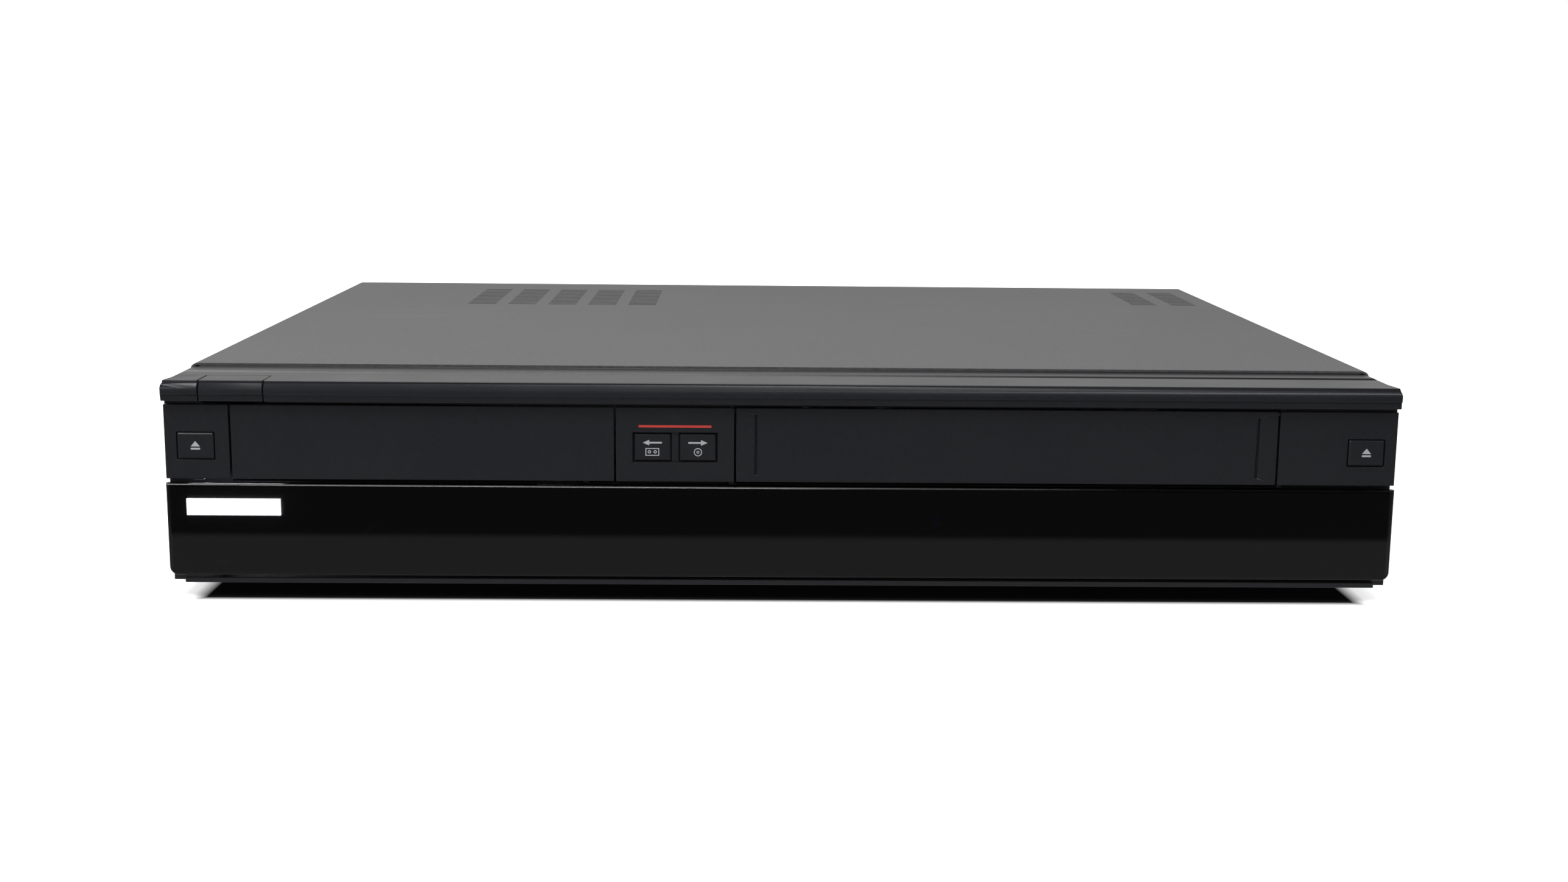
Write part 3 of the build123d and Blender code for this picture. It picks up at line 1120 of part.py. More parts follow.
def loading_motor():
    """The can motor under the frame's floor."""
    can = post(MOTOR_X, MOTOR_AT, FRAME_FLOOR - MOTOR_HEIGHT, FRAME_FLOOR, MOTOR_RADIUS)
    flat = MOTOR_RADIUS * 0.8
    can &= block(MOTOR_X - flat, MOTOR_X + flat, 0, FRAME_REAR, 0, FRAME_TOP)
    return can - post(MOTOR_X, MOTOR_AT, FRAME_FLOOR - MOTOR_HEIGHT / 2, FRAME_FLOOR + INTO,
                      MOTOR_SHAFT + RUN)


def traverse():
    """The steel plate that carries the spindle and the pickup's rods, on two pins."""
    top = TRAVERSE_UNDER + TRAVERSE_SHEET
    plate = block(TRAY_X - TRAVERSE_HALF, TRAY_X + TRAVERSE_HALF, TRAVERSE_FRONT, TRAVERSE_REAR,
                  TRAVERSE_UNDER, top)
    plate = fillet(plate.edges().filter_by(Axis.Z).sort_by(Axis.Y)[0:2], DISC_AT - TRAVERSE_FRONT)
    middle = GUIDE_ROD_OUT - 2 * ROD_HOLDER
    plate -= block(TRAY_X - middle, TRAY_X + middle, ROD_FRONT + 2 * ROD_HOLDER,
                   TRAVERSE_REAR - 4 * ROD_HOLDER, TRAVERSE_UNDER - INTO, top + INTO)
    plate -= post(TRAY_X, DISC_AT, TRAVERSE_UNDER - INTO, top + INTO, SPINDLE + RUN)
    reach = TRAVERSE_HALF + TRAVERSE_WINDOW + TRAVERSE_BOSS
    bar = axle(TRAY_X - reach, TRAY_X + reach, TRAVERSE_AXIS, traverse_axis_z(), TRAVERSE_PIN)
    plate += bar
    for side in (-1, 1):
        x = TRAY_X + side * GUIDE_ROD_OUT
        for depth in (ROD_FRONT, TRAVERSE_REAR - 2 * ROD_HOLDER):
            holder = block(x - ROD_HOLDER, x + ROD_HOLDER, depth, depth + 2 * ROD_HOLDER, top,
                           GUIDE_ROD_Z + GUIDE_ROD + FREE)
            plate += holder
        plate -= peg(x, GUIDE_ROD_Z, ROD_FRONT, TRAVERSE_REAR, GUIDE_ROD)
    return plate


def guide_rods():
    rods = [peg(TRAY_X + side * GUIDE_ROD_OUT, GUIDE_ROD_Z, ROD_FRONT, TRAVERSE_REAR, GUIDE_ROD)
            for side in (-1, 1)]
    return Compound(children=rods)


def spindle_motor():
    """The flat motor hung under the traverse, open in the middle for the spindle."""
    low = TRAVERSE_UNDER - SPINDLE_MOTOR_HEIGHT
    can = post(TRAY_X, DISC_AT, low, TRAVERSE_UNDER, SPINDLE_MOTOR_RADIUS)
    return can - post(TRAY_X, DISC_AT, low - INTO, TRAVERSE_UNDER + INTO, SPINDLE + RUN)


def turntable():
    """The disc's seat, its centring cone and the spindle below, turned as one."""
    low = TURNTABLE_TOP - TURNTABLE_THICK
    table = post(TRAY_X, DISC_AT, low, TURNTABLE_TOP, TURNTABLE_RADIUS)
    middle = TURNTABLE_TOP + HUB_CONE_HEIGHT / 2
    table += Pos(TRAY_X, back(DISC_AT), middle) * Cone(HUB_CONE_RADIUS, HUB_CONE_TIP, HUB_CONE_HEIGHT)
    return table + post(TRAY_X, DISC_AT, TRAVERSE_UNDER - SPINDLE_MOTOR_HEIGHT, low, SPINDLE)


def optical_pickup():
    """The sled on its two rods, with the lens on top."""
    reach = GUIDE_ROD_OUT + 2 * GUIDE_ROD
    low = GUIDE_ROD_Z - PICKUP_HEIGHT / 2
    end = PICKUP_START + PICKUP_LENGTH
    sled = block(TRAY_X - reach, TRAY_X + reach, PICKUP_START, end, low, low + PICKUP_HEIGHT)
    waist = block(TRAY_X - reach - INTO, TRAY_X - reach / 2, PICKUP_START + PICKUP_LENGTH / 4,
                  end - PICKUP_LENGTH / 4, low - INTO, low + PICKUP_HEIGHT + INTO)
    sled -= waist
    for side in (-1, 1):
        sled -= peg(TRAY_X + side * GUIDE_ROD_OUT, GUIDE_ROD_Z, PICKUP_START - INTO, end + INTO,
                    GUIDE_ROD + RUN)
    return sled + post(TRAY_X, PICKUP_START + 2 * LENS_RADIUS, low, LENS_TOP, LENS_RADIUS)


def clamp_bridge():
    """The steel strap over the tray, with the clamp's hole."""
    bridge = block(TRAY_X - FRAME_HALF, TRAY_X + FRAME_HALF, DISC_AT - BRIDGE_HALF, DISC_AT + BRIDGE_HALF,
                   FRAME_TOP, FRAME_TOP + BRIDGE_SHEET)
    return bridge - post(TRAY_X, DISC_AT, FRAME_TOP - INTO, FRAME_TOP + 2 * BRIDGE_SHEET,
                         CLAMP_NECK + 2 * FREE)


def disc_clamp():
    """The puck that holds a disc down, hung in the bridge by its upper rim."""
    low = TURNTABLE_TOP + HUB_CONE_HEIGHT + 2 * FREE
    rim = FRAME_TOP + BRIDGE_SHEET + FREE
    puck = post(TRAY_X, DISC_AT, low, low + CLAMP_DISC_THICK, CLAMP_DISC)
    puck += post(TRAY_X, DISC_AT, low, rim + CLAMP_DISC_THICK, CLAMP_NECK)
    return puck + post(TRAY_X, DISC_AT, rim, rim + CLAMP_DISC_THICK, CLAMP_DISC)


# ---------------------------------------------------------------- tape deck
def cassette_door():
    """The flap over the cassette opening, with its two pins and two shallow grooves."""
    half = TAPE_DOOR_WIDTH / 2
    rear = BAND_FACE + FLAP_THICK
    flap = across([(BAND_FACE, BAND_BOTTOM), (BAND_FACE, BAND_TOP), (rear, BAND_TOP),
                   (rear, BAND_BOTTOM)], TAPE_X - half, TAPE_X + half)
    for side in (-1, 1):
        end = TAPE_X + side * half
        x0, x1 = sorted((end - side * FLAP_THICK, end + side * (SEAM + FLAP_PIN_REACH)))
        flap += axle(x0, x1, FLAP_AXIS, FLAP_AXIS_Z, FLAP_PIN)
        x = TAPE_X + side * GROOVE_OUT
        flap -= block(x - GROOVE / 2, x + GROOVE / 2, BAND_FACE - INTO, BAND_FACE + GROOVE,
                      BAND_BOTTOM + 3 * GROOVE, BAND_TOP - 3 * GROOVE)
    return flap


def track_places(side):
    """Where one tape guide stands, open and threaded."""
    start = Vector(TAPE_X + side * GUIDE_START_OUT, back(DRUM_DEPTH - GUIDE_START_FORWARD), 0)
    lean = radians(GUIDE_LEAN)
    return start, start + Vector(side * GUIDE_TRAVEL * sin(lean), GUIDE_TRAVEL * cos(lean), 0)


def track_slot(side):
    """The slanted slot in the deck that a tape guide runs along."""
    start, end = track_places(side)
    rounds = [Pos(spot.X, spot.Y) * Circle(GUIDE_SLOT / 2) for spot in (start, end)]
    slot = make_hull([edge for spot in rounds for edge in spot.edges()])
    return Pos(0, 0, DECK_Z - INTO) * extrude(slot, amount=DECK_SHEET + 2 * INTO, dir=(0, 0, 1))


def deck_top():
    return DECK_Z + DECK_SHEET


def capstan_place():
    return TAPE_X + CAPSTAN_OUT, DRUM_DEPTH - CAPSTAN_FORWARD


def pinch_pivot_place():
    return TAPE_X + PINCH_PIVOT_OUT, DRUM_DEPTH - PINCH_PIVOT_FORWARD


def roller_place():
    """Where the pinch roller stands while its arm is open."""
    x, depth = capstan_place()
    gap = CAPSTAN + PINCH_ROLLER + FREE
    pressed = Vector(x + gap * cos(radians(PINCH_SIDE)), depth + gap * sin(radians(PINCH_SIDE)), 0)
    pivot_x, pivot_depth = pinch_pivot_place()
    arm = pressed - Vector(pivot_x, pivot_depth, 0)
    open_arm = arm.rotate(Axis.Z, PINCH_SWING)
    return pivot_x + open_arm.X, pivot_depth + open_arm.Y


def deck_plate():
    """The pressed steel deck: bosses for the reels, capstan and arm, and the guides' slots."""
    plate = block(DECK_LEFT, DECK_RIGHT, DECK_FRONT, DECK_REAR, DECK_Z, deck_top())
    plate -= track_slot(-1)
    plate -= track_slot(1)
    for side in (-1, 1):
        x = TAPE_X + side * REEL_SPACING / 2
        plate += post(x, REEL_DEPTH, DECK_Z - REEL_BOSS, deck_top() + FREE, REEL_BOSS)
        plate -= post(x, REEL_DEPTH, DECK_Z - REEL_BOSS - INTO, deck_top() + INTO, REEL_SHAFT + RUN)
    x, depth = capstan_place()
    plate += post(x, depth, DECK_Z - CAPSTAN_BUSH_DOWN, deck_top() + CAPSTAN_BUSH_UP, CAPSTAN_BUSH)
    plate -= post(x, depth, DECK_Z - 2 * CAPSTAN_BUSH_DOWN, deck_top() + 2 * CAPSTAN_BUSH_UP, CAPSTAN + RUN)
    x, depth = pinch_pivot_place()
    return plate + post(x, depth, deck_top(), PINCH_ARM_Z + 2 * PINCH_BOSS, PINCH_PIVOT)


def drum_lower():
    """The fixed lower drum on its base, with the slanted ledge that guides the tape."""
    base = post(TAPE_X, DRUM_DEPTH, deck_top(), DRUM_LOWER_Z, DRUM_BASE)
    drum = post(TAPE_X, DRUM_DEPTH, DRUM_LOWER_Z, DRUM_SPLIT_Z, DRUM_RADIUS)
    return base + drum - post(TAPE_X, DRUM_DEPTH, deck_top() - INTO, DRUM_SPLIT_Z + INTO, DRUM_SHAFT + RUN)


def drum_upper():
    """The spinning upper drum, hollowed on top round its hub, on its shaft."""
    low = DRUM_SPLIT_Z + DRUM_GAP
    drum = post(TAPE_X, DRUM_DEPTH, low, DRUM_TOP, DRUM_RADIUS)
    wall = 2 * WALL
    drum -= post(TAPE_X, DRUM_DEPTH, DRUM_TOP - wall, DRUM_TOP + INTO, DRUM_RADIUS - wall)
    drum += post(TAPE_X, DRUM_DEPTH, DRUM_TOP - wall - INTO, DRUM_TOP, 2 * DRUM_SHAFT)
    for turn in (0, 180):
        window = Rot(0, 0, turn) * Pos(DRUM_RADIUS, 0, low) * Box(WALL, wall, WALL)
        drum -= Pos(TAPE_X, back(DRUM_DEPTH), 0) * window
    return drum + post(TAPE_X, DRUM_DEPTH, deck_top() + FREE, low, DRUM_SHAFT)


def reel_table(side):
    """A reel's driven disc, the three-winged hub on it and its shaft."""
    x = TAPE_X + side * REEL_SPACING / 2
    low = deck_top() + 2 * FREE
    disc_top = low + REEL_DISC_THICK
    reel = post(x, REEL_DEPTH, low, disc_top, REEL_DISC)
    reel += post(x, REEL_DEPTH, disc_top, REEL_TOP, REEL_HUB)
    for turn in (0, 120, 240):
        wing = Rot(0, 0, turn) * Pos(REEL_HUB, 0, (disc_top + REEL_TOP - 2) / 2) * (
            Box(WALL, 1, REEL_TOP - 2 - disc_top))
        reel += Pos(x, back(REEL_DEPTH), 0) * wing
    return reel + post(x, REEL_DEPTH, DECK_Z - REEL_BOSS, low, REEL_SHAFT)


def capstan():
    """The capstan: its thin shaft and the flywheel under the deck."""
    x, depth = capstan_place()
    wheel = post(x, depth, FLYWHEEL_Z, FLYWHEEL_Z + FLYWHEEL_THICK, FLYWHEEL_RADIUS)
    return wheel + post(x, depth, FLYWHEEL_Z, CAPSTAN_TOP, CAPSTAN)


def capstan_motor():
    """The flat stator on the pan, under the flywheel."""
    x, depth = capstan_place()
    stator = post(x, depth, PAN_TOP, FLYWHEEL_Z - 2 * FREE, STATOR_RADIUS)
    for number in range(6):
        notch = Rot(0, 0, number * 60) * Pos(STATOR_RADIUS, 0, PAN_TOP + WALL) * Box(WALL, WALL, FLYWHEEL_Z)
        stator -= Pos(x, back(depth), FLYWHEEL_Z / 2) * notch
    return stator


def pinch_arm():
    """The arm that brings the roller to the capstan: boss, flat bar and axle."""
    x, depth = pinch_pivot_place()
    end_x, end_depth = roller_place()
    boss = post(x, depth, deck_top() + FREE, PINCH_ARM_Z + PINCH_BOSS, PINCH_BOSS)
    ends = ((x, depth, PINCH_BOSS), (end_x, end_depth, 2 * PINCH_AXLE))
    rounds = [Pos(place_x, back(place_depth)) * Circle(radius) for place_x, place_depth, radius in ends]
    bar = make_hull([edge for spot in rounds for edge in spot.edges()])
    arm = boss + Pos(0, 0, PINCH_ARM_Z) * extrude(bar, amount=PINCH_ARM_SHEET, dir=(0, 0, 1))
    arm -= post(x, depth, deck_top(), PINCH_ARM_Z + 2 * PINCH_BOSS, PINCH_PIVOT + RUN)
    top = PINCH_ROLLER_Z + PINCH_ROLLER_HEIGHT
    return arm + post(end_x, end_depth, PINCH_ARM_Z, top + INTO, PINCH_AXLE)


def pinch_roller():
    """The rubber roller, free on the arm's axle."""
    x, depth = roller_place()
    top = PINCH_ROLLER_Z + PINCH_ROLLER_HEIGHT
    roller = post(x, depth, PINCH_ROLLER_Z, top, PINCH_ROLLER)
    return roller - post(x, depth, PINCH_ROLLER_Z - INTO, top + INTO, PINCH_AXLE + RUN)


def tape_guide(side):
    """A threading guide: its foot through the slot, its base on the deck and its post."""
    start, _ = track_places(side)
    depth = start.Y + OVERALL_DEPTH / 2
    low = deck_top() + FREE
    guide = pressed_post(start.X, depth, low, low + GUIDE_BASE_THICK, GUIDE_BASE)
    guide += post(start.X, depth, DECK_Z - 2 * GUIDE_FOOT, low, GUIDE_FOOT)
    guide += pressed_post(start.X, depth, DECK_Z - 2 * GUIDE_FOOT, DECK_Z - FREE, GUIDE_BASE - INTO)
    guide += post(start.X, depth, low, GUIDE_POST_TOP, GUIDE_POST)
    rim = post(start.X, depth, GUIDE_POST_TOP, GUIDE_POST_TOP + GUIDE_RIM, GUIDE_POST + GUIDE_RIM)
    return guide + rim


def tape_head(side):
    """A fixed head on the deck with its rounded face towards the tape."""
    x = TAPE_X + side * HEAD_OUT
    depth = DRUM_DEPTH - HEAD_FORWARD
    head = block(x - HEAD_WIDTH / 2, x + HEAD_WIDTH / 2, depth - HEAD_DEPTH / 2, depth + HEAD_DEPTH / 2,
                 deck_top(), deck_top() + HEAD_HEIGHT)
    face = head.faces().sort_by(Axis.Y)[0].edges().filter_by(Axis.Z)
    return fillet(face, HEAD_DEPTH / 3)


def basket_middle():
    return BASKET_FRONT + BASKET_LENGTH / 2


def cassette_basket():
    """The basket that takes a cassette: roof with its window, sides, ledges and pins."""
    outer = BASKET_INNER / 2 + BASKET_SHEET
    rear = BASKET_FRONT + BASKET_LENGTH
    basket = block(TAPE_X - outer, TAPE_X + outer, BASKET_FRONT, rear, BASKET_BOTTOM, BASKET_TOP)
    inner = outer - BASKET_SHEET
    basket -= block(TAPE_X - inner, TAPE_X + inner, BASKET_FRONT - INTO, rear + INTO,
                    BASKET_BOTTOM + BASKET_SHEET, BASKET_TOP - BASKET_SHEET)
    ledge = outer - BASKET_LEDGE
    basket -= block(TAPE_X - ledge, TAPE_X + ledge, BASKET_FRONT - INTO, rear + INTO,
                    BASKET_BOTTOM - INTO, BASKET_BOTTOM + 2 * BASKET_SHEET)
    for side in (-1, 1):
        x = TAPE_X + side * REEL_SPACING / 2
        basket -= block(x - 2 * BASKET_LEDGE, x + 2 * BASKET_LEDGE, BASKET_FRONT + 2 * BASKET_LEDGE,
                        rear - 2 * BASKET_LEDGE, BASKET_TOP - 2 * BASKET_SHEET, BASKET_TOP + INTO)
        x0, x1 = sorted((TAPE_X + side * outer, TAPE_X + side * (outer + BASKET_PIN_REACH)))
        basket += axle(x0, x1, basket_middle(), BASKET_PIN_Z, BASKET_PIN)
    return basket


def carriage_slider():
    """The yoke that carries the basket in: two slotted arms and the bar between them."""
    inner = BASKET_INNER / 2 + BASKET_SHEET + ARM_GAP
    middle = basket_middle()
    yoke = None
    play = BASKET_PIN + SLOT_PLAY
    for side in (-1, 1):
        x0, x1 = sorted((TAPE_X + side * inner, TAPE_X + side * (inner + ARM_SHEET)))
        arm = block(x0, x1, middle - ARM_DEPTH / 2, middle + ARM_DEPTH / 2, ARM_BOTTOM, ARM_TOP)
        arm -= block(x0 - INTO, x1 + INTO, middle - play, middle + play,
                     BASKET_PIN_Z - BASKET_DOWN - play, BASKET_PIN_Z + play)
        far = TAPE_X + side * (inner + ARM_SHEET + SIDE_GAP + SIDE_SHEET)
        x0, x1 = sorted((TAPE_X + side * (inner + ARM_SHEET), far))
        arm += axle(x0, x1, middle, SLIDER_PIN_Z, BASKET_PIN)
        yoke = arm if yoke is None else yoke + arm
    bar_half = BASKET_PIN
    reach = inner + INTO
    return yoke + block(TAPE_X - reach, TAPE_X + reach, middle - 2 * bar_half, middle + 2 * bar_half,
                        ARM_TOP - 2 * bar_half, ARM_TOP)


def carriage_side(side):
    """A fixed side of the carriage: a plate with the slot that the yoke's pin runs in."""
    near = BASKET_INNER / 2 + BASKET_SHEET + ARM_GAP + ARM_SHEET + SIDE_GAP
    x0, x1 = sorted((TAPE_X + side * near, TAPE_X + side * (near + SIDE_SHEET)))
    plate = across([(DECK_FRONT, deck_top()), (DECK_FRONT, SIDE_TOP), (SIDE_REAR - SIDE_SLOPE, SIDE_TOP),
                    (SIDE_REAR, DRUM_SPLIT_Z), (SIDE_REAR, deck_top())], x0, x1)
    play = BASKET_PIN + SLOT_PLAY
    middle = basket_middle()
    return plate - block(x0 - INTO, x1 + INTO, middle - play, middle + BASKET_IN + play,
                         SLIDER_PIN_Z - play, SLIDER_PIN_Z + play)


# ---------------------------------------------------------------- every piece
def together(shapes):
    """Separate solids that share one file."""
    solids = [solid for shape in shapes for solid in shape.solids()]
    return Compound(children=solids)


def casing_pieces():
    rear_blocks = [jack_block(places) for places in rear_jack_places().values()]
    sockets = [signal_socket(name) for name in SOCKETS]
    return {
        "top_cover": top_cover(), "base_pan": pan(), "rear_panel": rear_panel(), "feet": feet(),
        "cover_screws": cover_screws(), "front_bezel": front_bezel(), "front_door": front_door(),
        "indicator_bar": indicator_bar(), "display_filter": display_filter(),
        "display_tube": display_tube(), "front_boards": together([front_board(), band_boards()]),
        "tact_switches": tact_switches(), "front_jacks": front_jacks(), "power_button": power_button(),
        "circuit_boards": together([flat_board(name) for name in BOARDS]),
        "power_parts": together([transformer(), heat_sink(), capacitors()]),
        "jack_blocks": together(rear_blocks), "signal_sockets": together(sockets + [signal_stand()]),
        "tuner": together([tuner(), antenna_connectors()]), "mains_gland": mains_gland(),
    }


def disc_drive_pieces():
    return {
        "tray_front": tray_front(), "disc_tray": disc_tray(), "loader_frame": loader_frame(),
        "tray_pinion": pinion(), "motor_pulley": motor_pulley(), "loading_belt": loading_belt(),
        "loading_motor": loading_motor(), "traverse": traverse(), "guide_rods": guide_rods(),
        "spindle_motor": spindle_motor(), "turntable": turntable(), "optical_pickup": optical_pickup(),
        "clamp_bridge": clamp_bridge(), "disc_clamp": disc_clamp(),
    }


def tape_deck_pieces():
    return {
        "cassette_door": cassette_door(), "deck_plate": deck_plate(), "drum_lower": drum_lower(),
        "drum_upper": drum_upper(), "supply_reel_table": reel_table(-1), "takeup_reel_table": reel_table(1),
        "capstan": capstan(), "capstan_motor": capstan_motor(), "pinch_arm": pinch_arm(),
        "pinch_roller": pinch_roller(), "tape_guide_left": tape_guide(-1), "tape_guide_right": tape_guide(1),
        "tape_heads": together([tape_head(-1), tape_head(1)]), "cassette_basket": cassette_basket(),
        "carriage_slider": carriage_slider(),
        "carriage_sides": together([carriage_side(-1), carriage_side(1)]),
    }


def button_pieces():
    return {name: push_button(x, z, width, height, wall)
            for name, x, z, width, height, wall in button_places()}


def build():
    for group in (casing_pieces(), disc_drive_pieces(), tape_deck_pieces(), button_pieces()):
        for node, shape in group.items():
            export_step(shape, f"parts/{node}.step")


build()
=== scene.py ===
"""The looks of a combined disc and tape player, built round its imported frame."""
import json
import math

import bmesh
import bpy
from mathutils import Matrix, Vector

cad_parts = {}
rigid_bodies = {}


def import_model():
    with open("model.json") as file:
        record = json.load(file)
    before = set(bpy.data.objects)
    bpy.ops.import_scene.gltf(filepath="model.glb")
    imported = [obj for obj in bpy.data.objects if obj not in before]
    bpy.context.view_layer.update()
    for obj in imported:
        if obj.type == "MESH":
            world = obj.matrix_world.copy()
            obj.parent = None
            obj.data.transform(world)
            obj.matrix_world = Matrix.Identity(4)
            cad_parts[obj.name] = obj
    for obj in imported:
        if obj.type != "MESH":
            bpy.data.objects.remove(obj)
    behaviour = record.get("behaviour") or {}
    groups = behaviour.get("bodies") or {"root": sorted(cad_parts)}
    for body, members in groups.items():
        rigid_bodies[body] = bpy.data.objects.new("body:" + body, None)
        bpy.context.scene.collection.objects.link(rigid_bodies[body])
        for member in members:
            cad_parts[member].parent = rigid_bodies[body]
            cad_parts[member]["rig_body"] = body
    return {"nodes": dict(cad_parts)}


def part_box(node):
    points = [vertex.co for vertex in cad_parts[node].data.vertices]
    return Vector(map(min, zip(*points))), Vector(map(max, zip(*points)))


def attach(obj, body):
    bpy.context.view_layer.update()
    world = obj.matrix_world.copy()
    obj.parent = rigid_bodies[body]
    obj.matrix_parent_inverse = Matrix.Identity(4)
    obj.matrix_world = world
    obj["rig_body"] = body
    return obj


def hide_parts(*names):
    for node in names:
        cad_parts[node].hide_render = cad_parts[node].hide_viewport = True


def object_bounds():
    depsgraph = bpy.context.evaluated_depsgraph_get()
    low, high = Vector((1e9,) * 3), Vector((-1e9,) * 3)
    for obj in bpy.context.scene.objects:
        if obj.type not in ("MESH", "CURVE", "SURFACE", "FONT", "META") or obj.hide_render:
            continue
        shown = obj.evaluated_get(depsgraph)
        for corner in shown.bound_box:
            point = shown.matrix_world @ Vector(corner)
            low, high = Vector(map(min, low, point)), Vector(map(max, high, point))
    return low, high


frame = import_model()
CAD_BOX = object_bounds()

bl_info = {
    "name": "Disc and Tape Player",
    "version": (1, 0, 0),
    "blender": (4, 5, 0),
    "location": "View3D > Sidebar > Player",
    "description": "Finishes, marks, connectors and stage of a disc and tape player",
    "category": "Object",
}

MM = 0.001
FRONT = CAD_BOX[0].y        # the plane of the brow's front, in metres


def linear(code):
    """An sRGB hex colour as linear red, green and blue."""
    parts = [int(code[place:place + 2], 16) / 255 for place in (1, 3, 5)]
    return tuple(c / 12.92 if c <= 0.04045 else ((c + 0.055) / 1.055) ** 2.4 for c in parts)


def colour_property(name, description, code):
    return bpy.props.FloatVectorProperty(name=name, description=description, subtype="COLOR",
                                         size=3, min=0, max=1, default=linear(code))


# ---------------------------------------------------------------- what a user would change
class PlayerFinishes(bpy.types.PropertyGroup):
    """Colours of the casing and of the marks on it."""
    cover: colour_property("Cover", "Textured paint on the steel cover", "#47484a")
    bezel: colour_property("Bezel", "Satin moulded plastic of the front and its buttons", "#191a1e")
    fascia: colour_property("Fascia", "Moulded plastic behind the drop door", "#161618")
    smoked: colour_property("Smoked door", "Tint of the clear plastic drop door", "#292929")
    marks: colour_property("Marks", "Printed marks on the buttons", "#8f9294")
    rule: colour_property("Rule", "Printed rule over the two middle buttons", "#a8281f")
    lamp: colour_property("Lamp", "Lit bar behind the drop door", "#fdfcff")
    board: colour_property("Boards", "Solder mask of the circuit boards", "#1f5a30")


class PlayerMarks(bpy.types.PropertyGroup):
    """Sizes of the printed marks, in metres."""
    eject_width: bpy.props.FloatProperty(name="Eject mark", description="Width of the eject mark",
                                         default=3.2 * MM, min=MM, max=8 * MM, unit="LENGTH")
    arrow_length: bpy.props.FloatProperty(name="Arrow", default=6.7 * MM, min=MM, max=9 * MM, unit="LENGTH",
                                          description="Length of the arrows on the middle buttons")
    ink: bpy.props.FloatProperty(name="Ink", description="Height of the printed ink over the plastic",
                                 default=0.04 * MM, min=0.01 * MM, max=0.2 * MM, unit="LENGTH")


class PlayerStage(bpy.types.PropertyGroup):
    """The floor, the lamps and the lens."""
    lens: bpy.props.FloatProperty(name="Lens", description="Focal length of the camera, in millimetres",
                                  default=43.38, min=20, max=120)
    table: bpy.props.FloatProperty(name="Table", default=102 * MM, min=0, max=2, unit="LENGTH",
                                   description="How far in front of the player mirrors still see pale table")
    overhead: bpy.props.FloatProperty(name="Overhead", description="Power of the soft lamp over the player",
                                      default=6.8, min=0, max=200, unit="POWER")
    fill: bpy.props.FloatProperty(name="Fill", description="Power of the soft lamp above the camera",
                                  default=0.3, min=0, max=200, unit="POWER")
    strip: bpy.props.FloatProperty(name="Strip", default=4.0, min=0, max=200, unit="POWER",
                                   description="Power of the long lamp that lights the bead of the brow")
    air: bpy.props.FloatProperty(name="Air", description="Strength of the light from all round",
                                 default=0.75, min=0, max=3)


# ---------------------------------------------------------------- materials
def add(tree, kind, links=None, **settings):
    """One node with its settings, its socket values and the links into it."""
    made = tree.nodes.new(kind)
    for name, value in settings.items():
        setattr(made, name, value)
    for socket, value in (links or {}).items():
        if isinstance(value, bpy.types.NodeSocket):
            tree.links.new(value, made.inputs[socket])
        else:
            made.inputs[socket].default_value = value
    return made


def blank(name):
    """An empty material and its tree, with an output."""
    made = bpy.data.materials.new(name)
    made.use_nodes = True
    made.node_tree.nodes.clear()
    return made, made.node_tree, made.node_tree.nodes.new("ShaderNodeOutputMaterial")


def opaque(colour):
    """Red, green and blue with full alpha."""
    return (*colour, 1.0)


def tinted(colour, share):
    """A colour made lighter or darker by a share."""
    return opaque(min(1.0, c * share) for c in colour)


def noise(tree, place, size, **sockets):
    """A noise pattern with patches of about size millimetres."""
    sockets |= {"Vector": place, "Scale": 1 / (size * MM)}
    return add(tree, "ShaderNodeTexNoise", sockets).outputs["Fac"]


def ranged(tree, value, source, target=(0.0, 1.0)):
    """A value carried from the source span over to the target span, and held inside it."""
    return add(tree, "ShaderNodeMapRange", {
        "Value": value, "From Min": source[0], "From Max": source[1],
        "To Min": target[0], "To Max": target[1]}).outputs["Result"]


def mixed(tree, share, first, second, **settings):
    """Two colours mixed by a share, through the sockets that the node keeps for colours."""
    sockets = {0: share, 6: first, 7: second}
    return add(tree, "ShaderNodeMix", sockets, data_type="RGBA", **settings).outputs[2]


def blended(tree, share, first, second):
    """The first shader where the share is 0 and the second where it is 1."""
    return add(tree, "ShaderNodeMixShader", {"Fac": share, 1: first, 2: second}).outputs[0]


def shining(tree, colour, strength=1.0, kind="ShaderNodeEmission"):
    """A surface, or a background, that shines by itself."""
    return add(tree, kind, {"Color": opaque(colour), "Strength": strength}).outputs[0]


NOISE_SPAN = (0.3, 0.7)                     # where nearly all of a noise pattern lies
SCRATCH_SPAN = (0.665, 0.70)                # the crest of the noise that shows as a thin line
SCRATCH_SIZE = 7                            # between scratches, in millimetres
SCRATCH_TURN = (0.2, 0.1, 0.35)             # the way the scratches run, in radians
SCRATCH_DRAW = (0.12, 1, 1)                 # draws the noise out along them
SCRATCH_TONE = linear("#8c8a86")
# Warm grey on faces that look up: dust, and a painted sheen that lightens them as light from above would.
DUST_AND_SHEEN_TONE = linear("#77716a")
DUST_AND_SHEEN_SPAN = (0.75, 1.0)                     # how far up a face looks where the dust and painted sheen begin, and where they are full
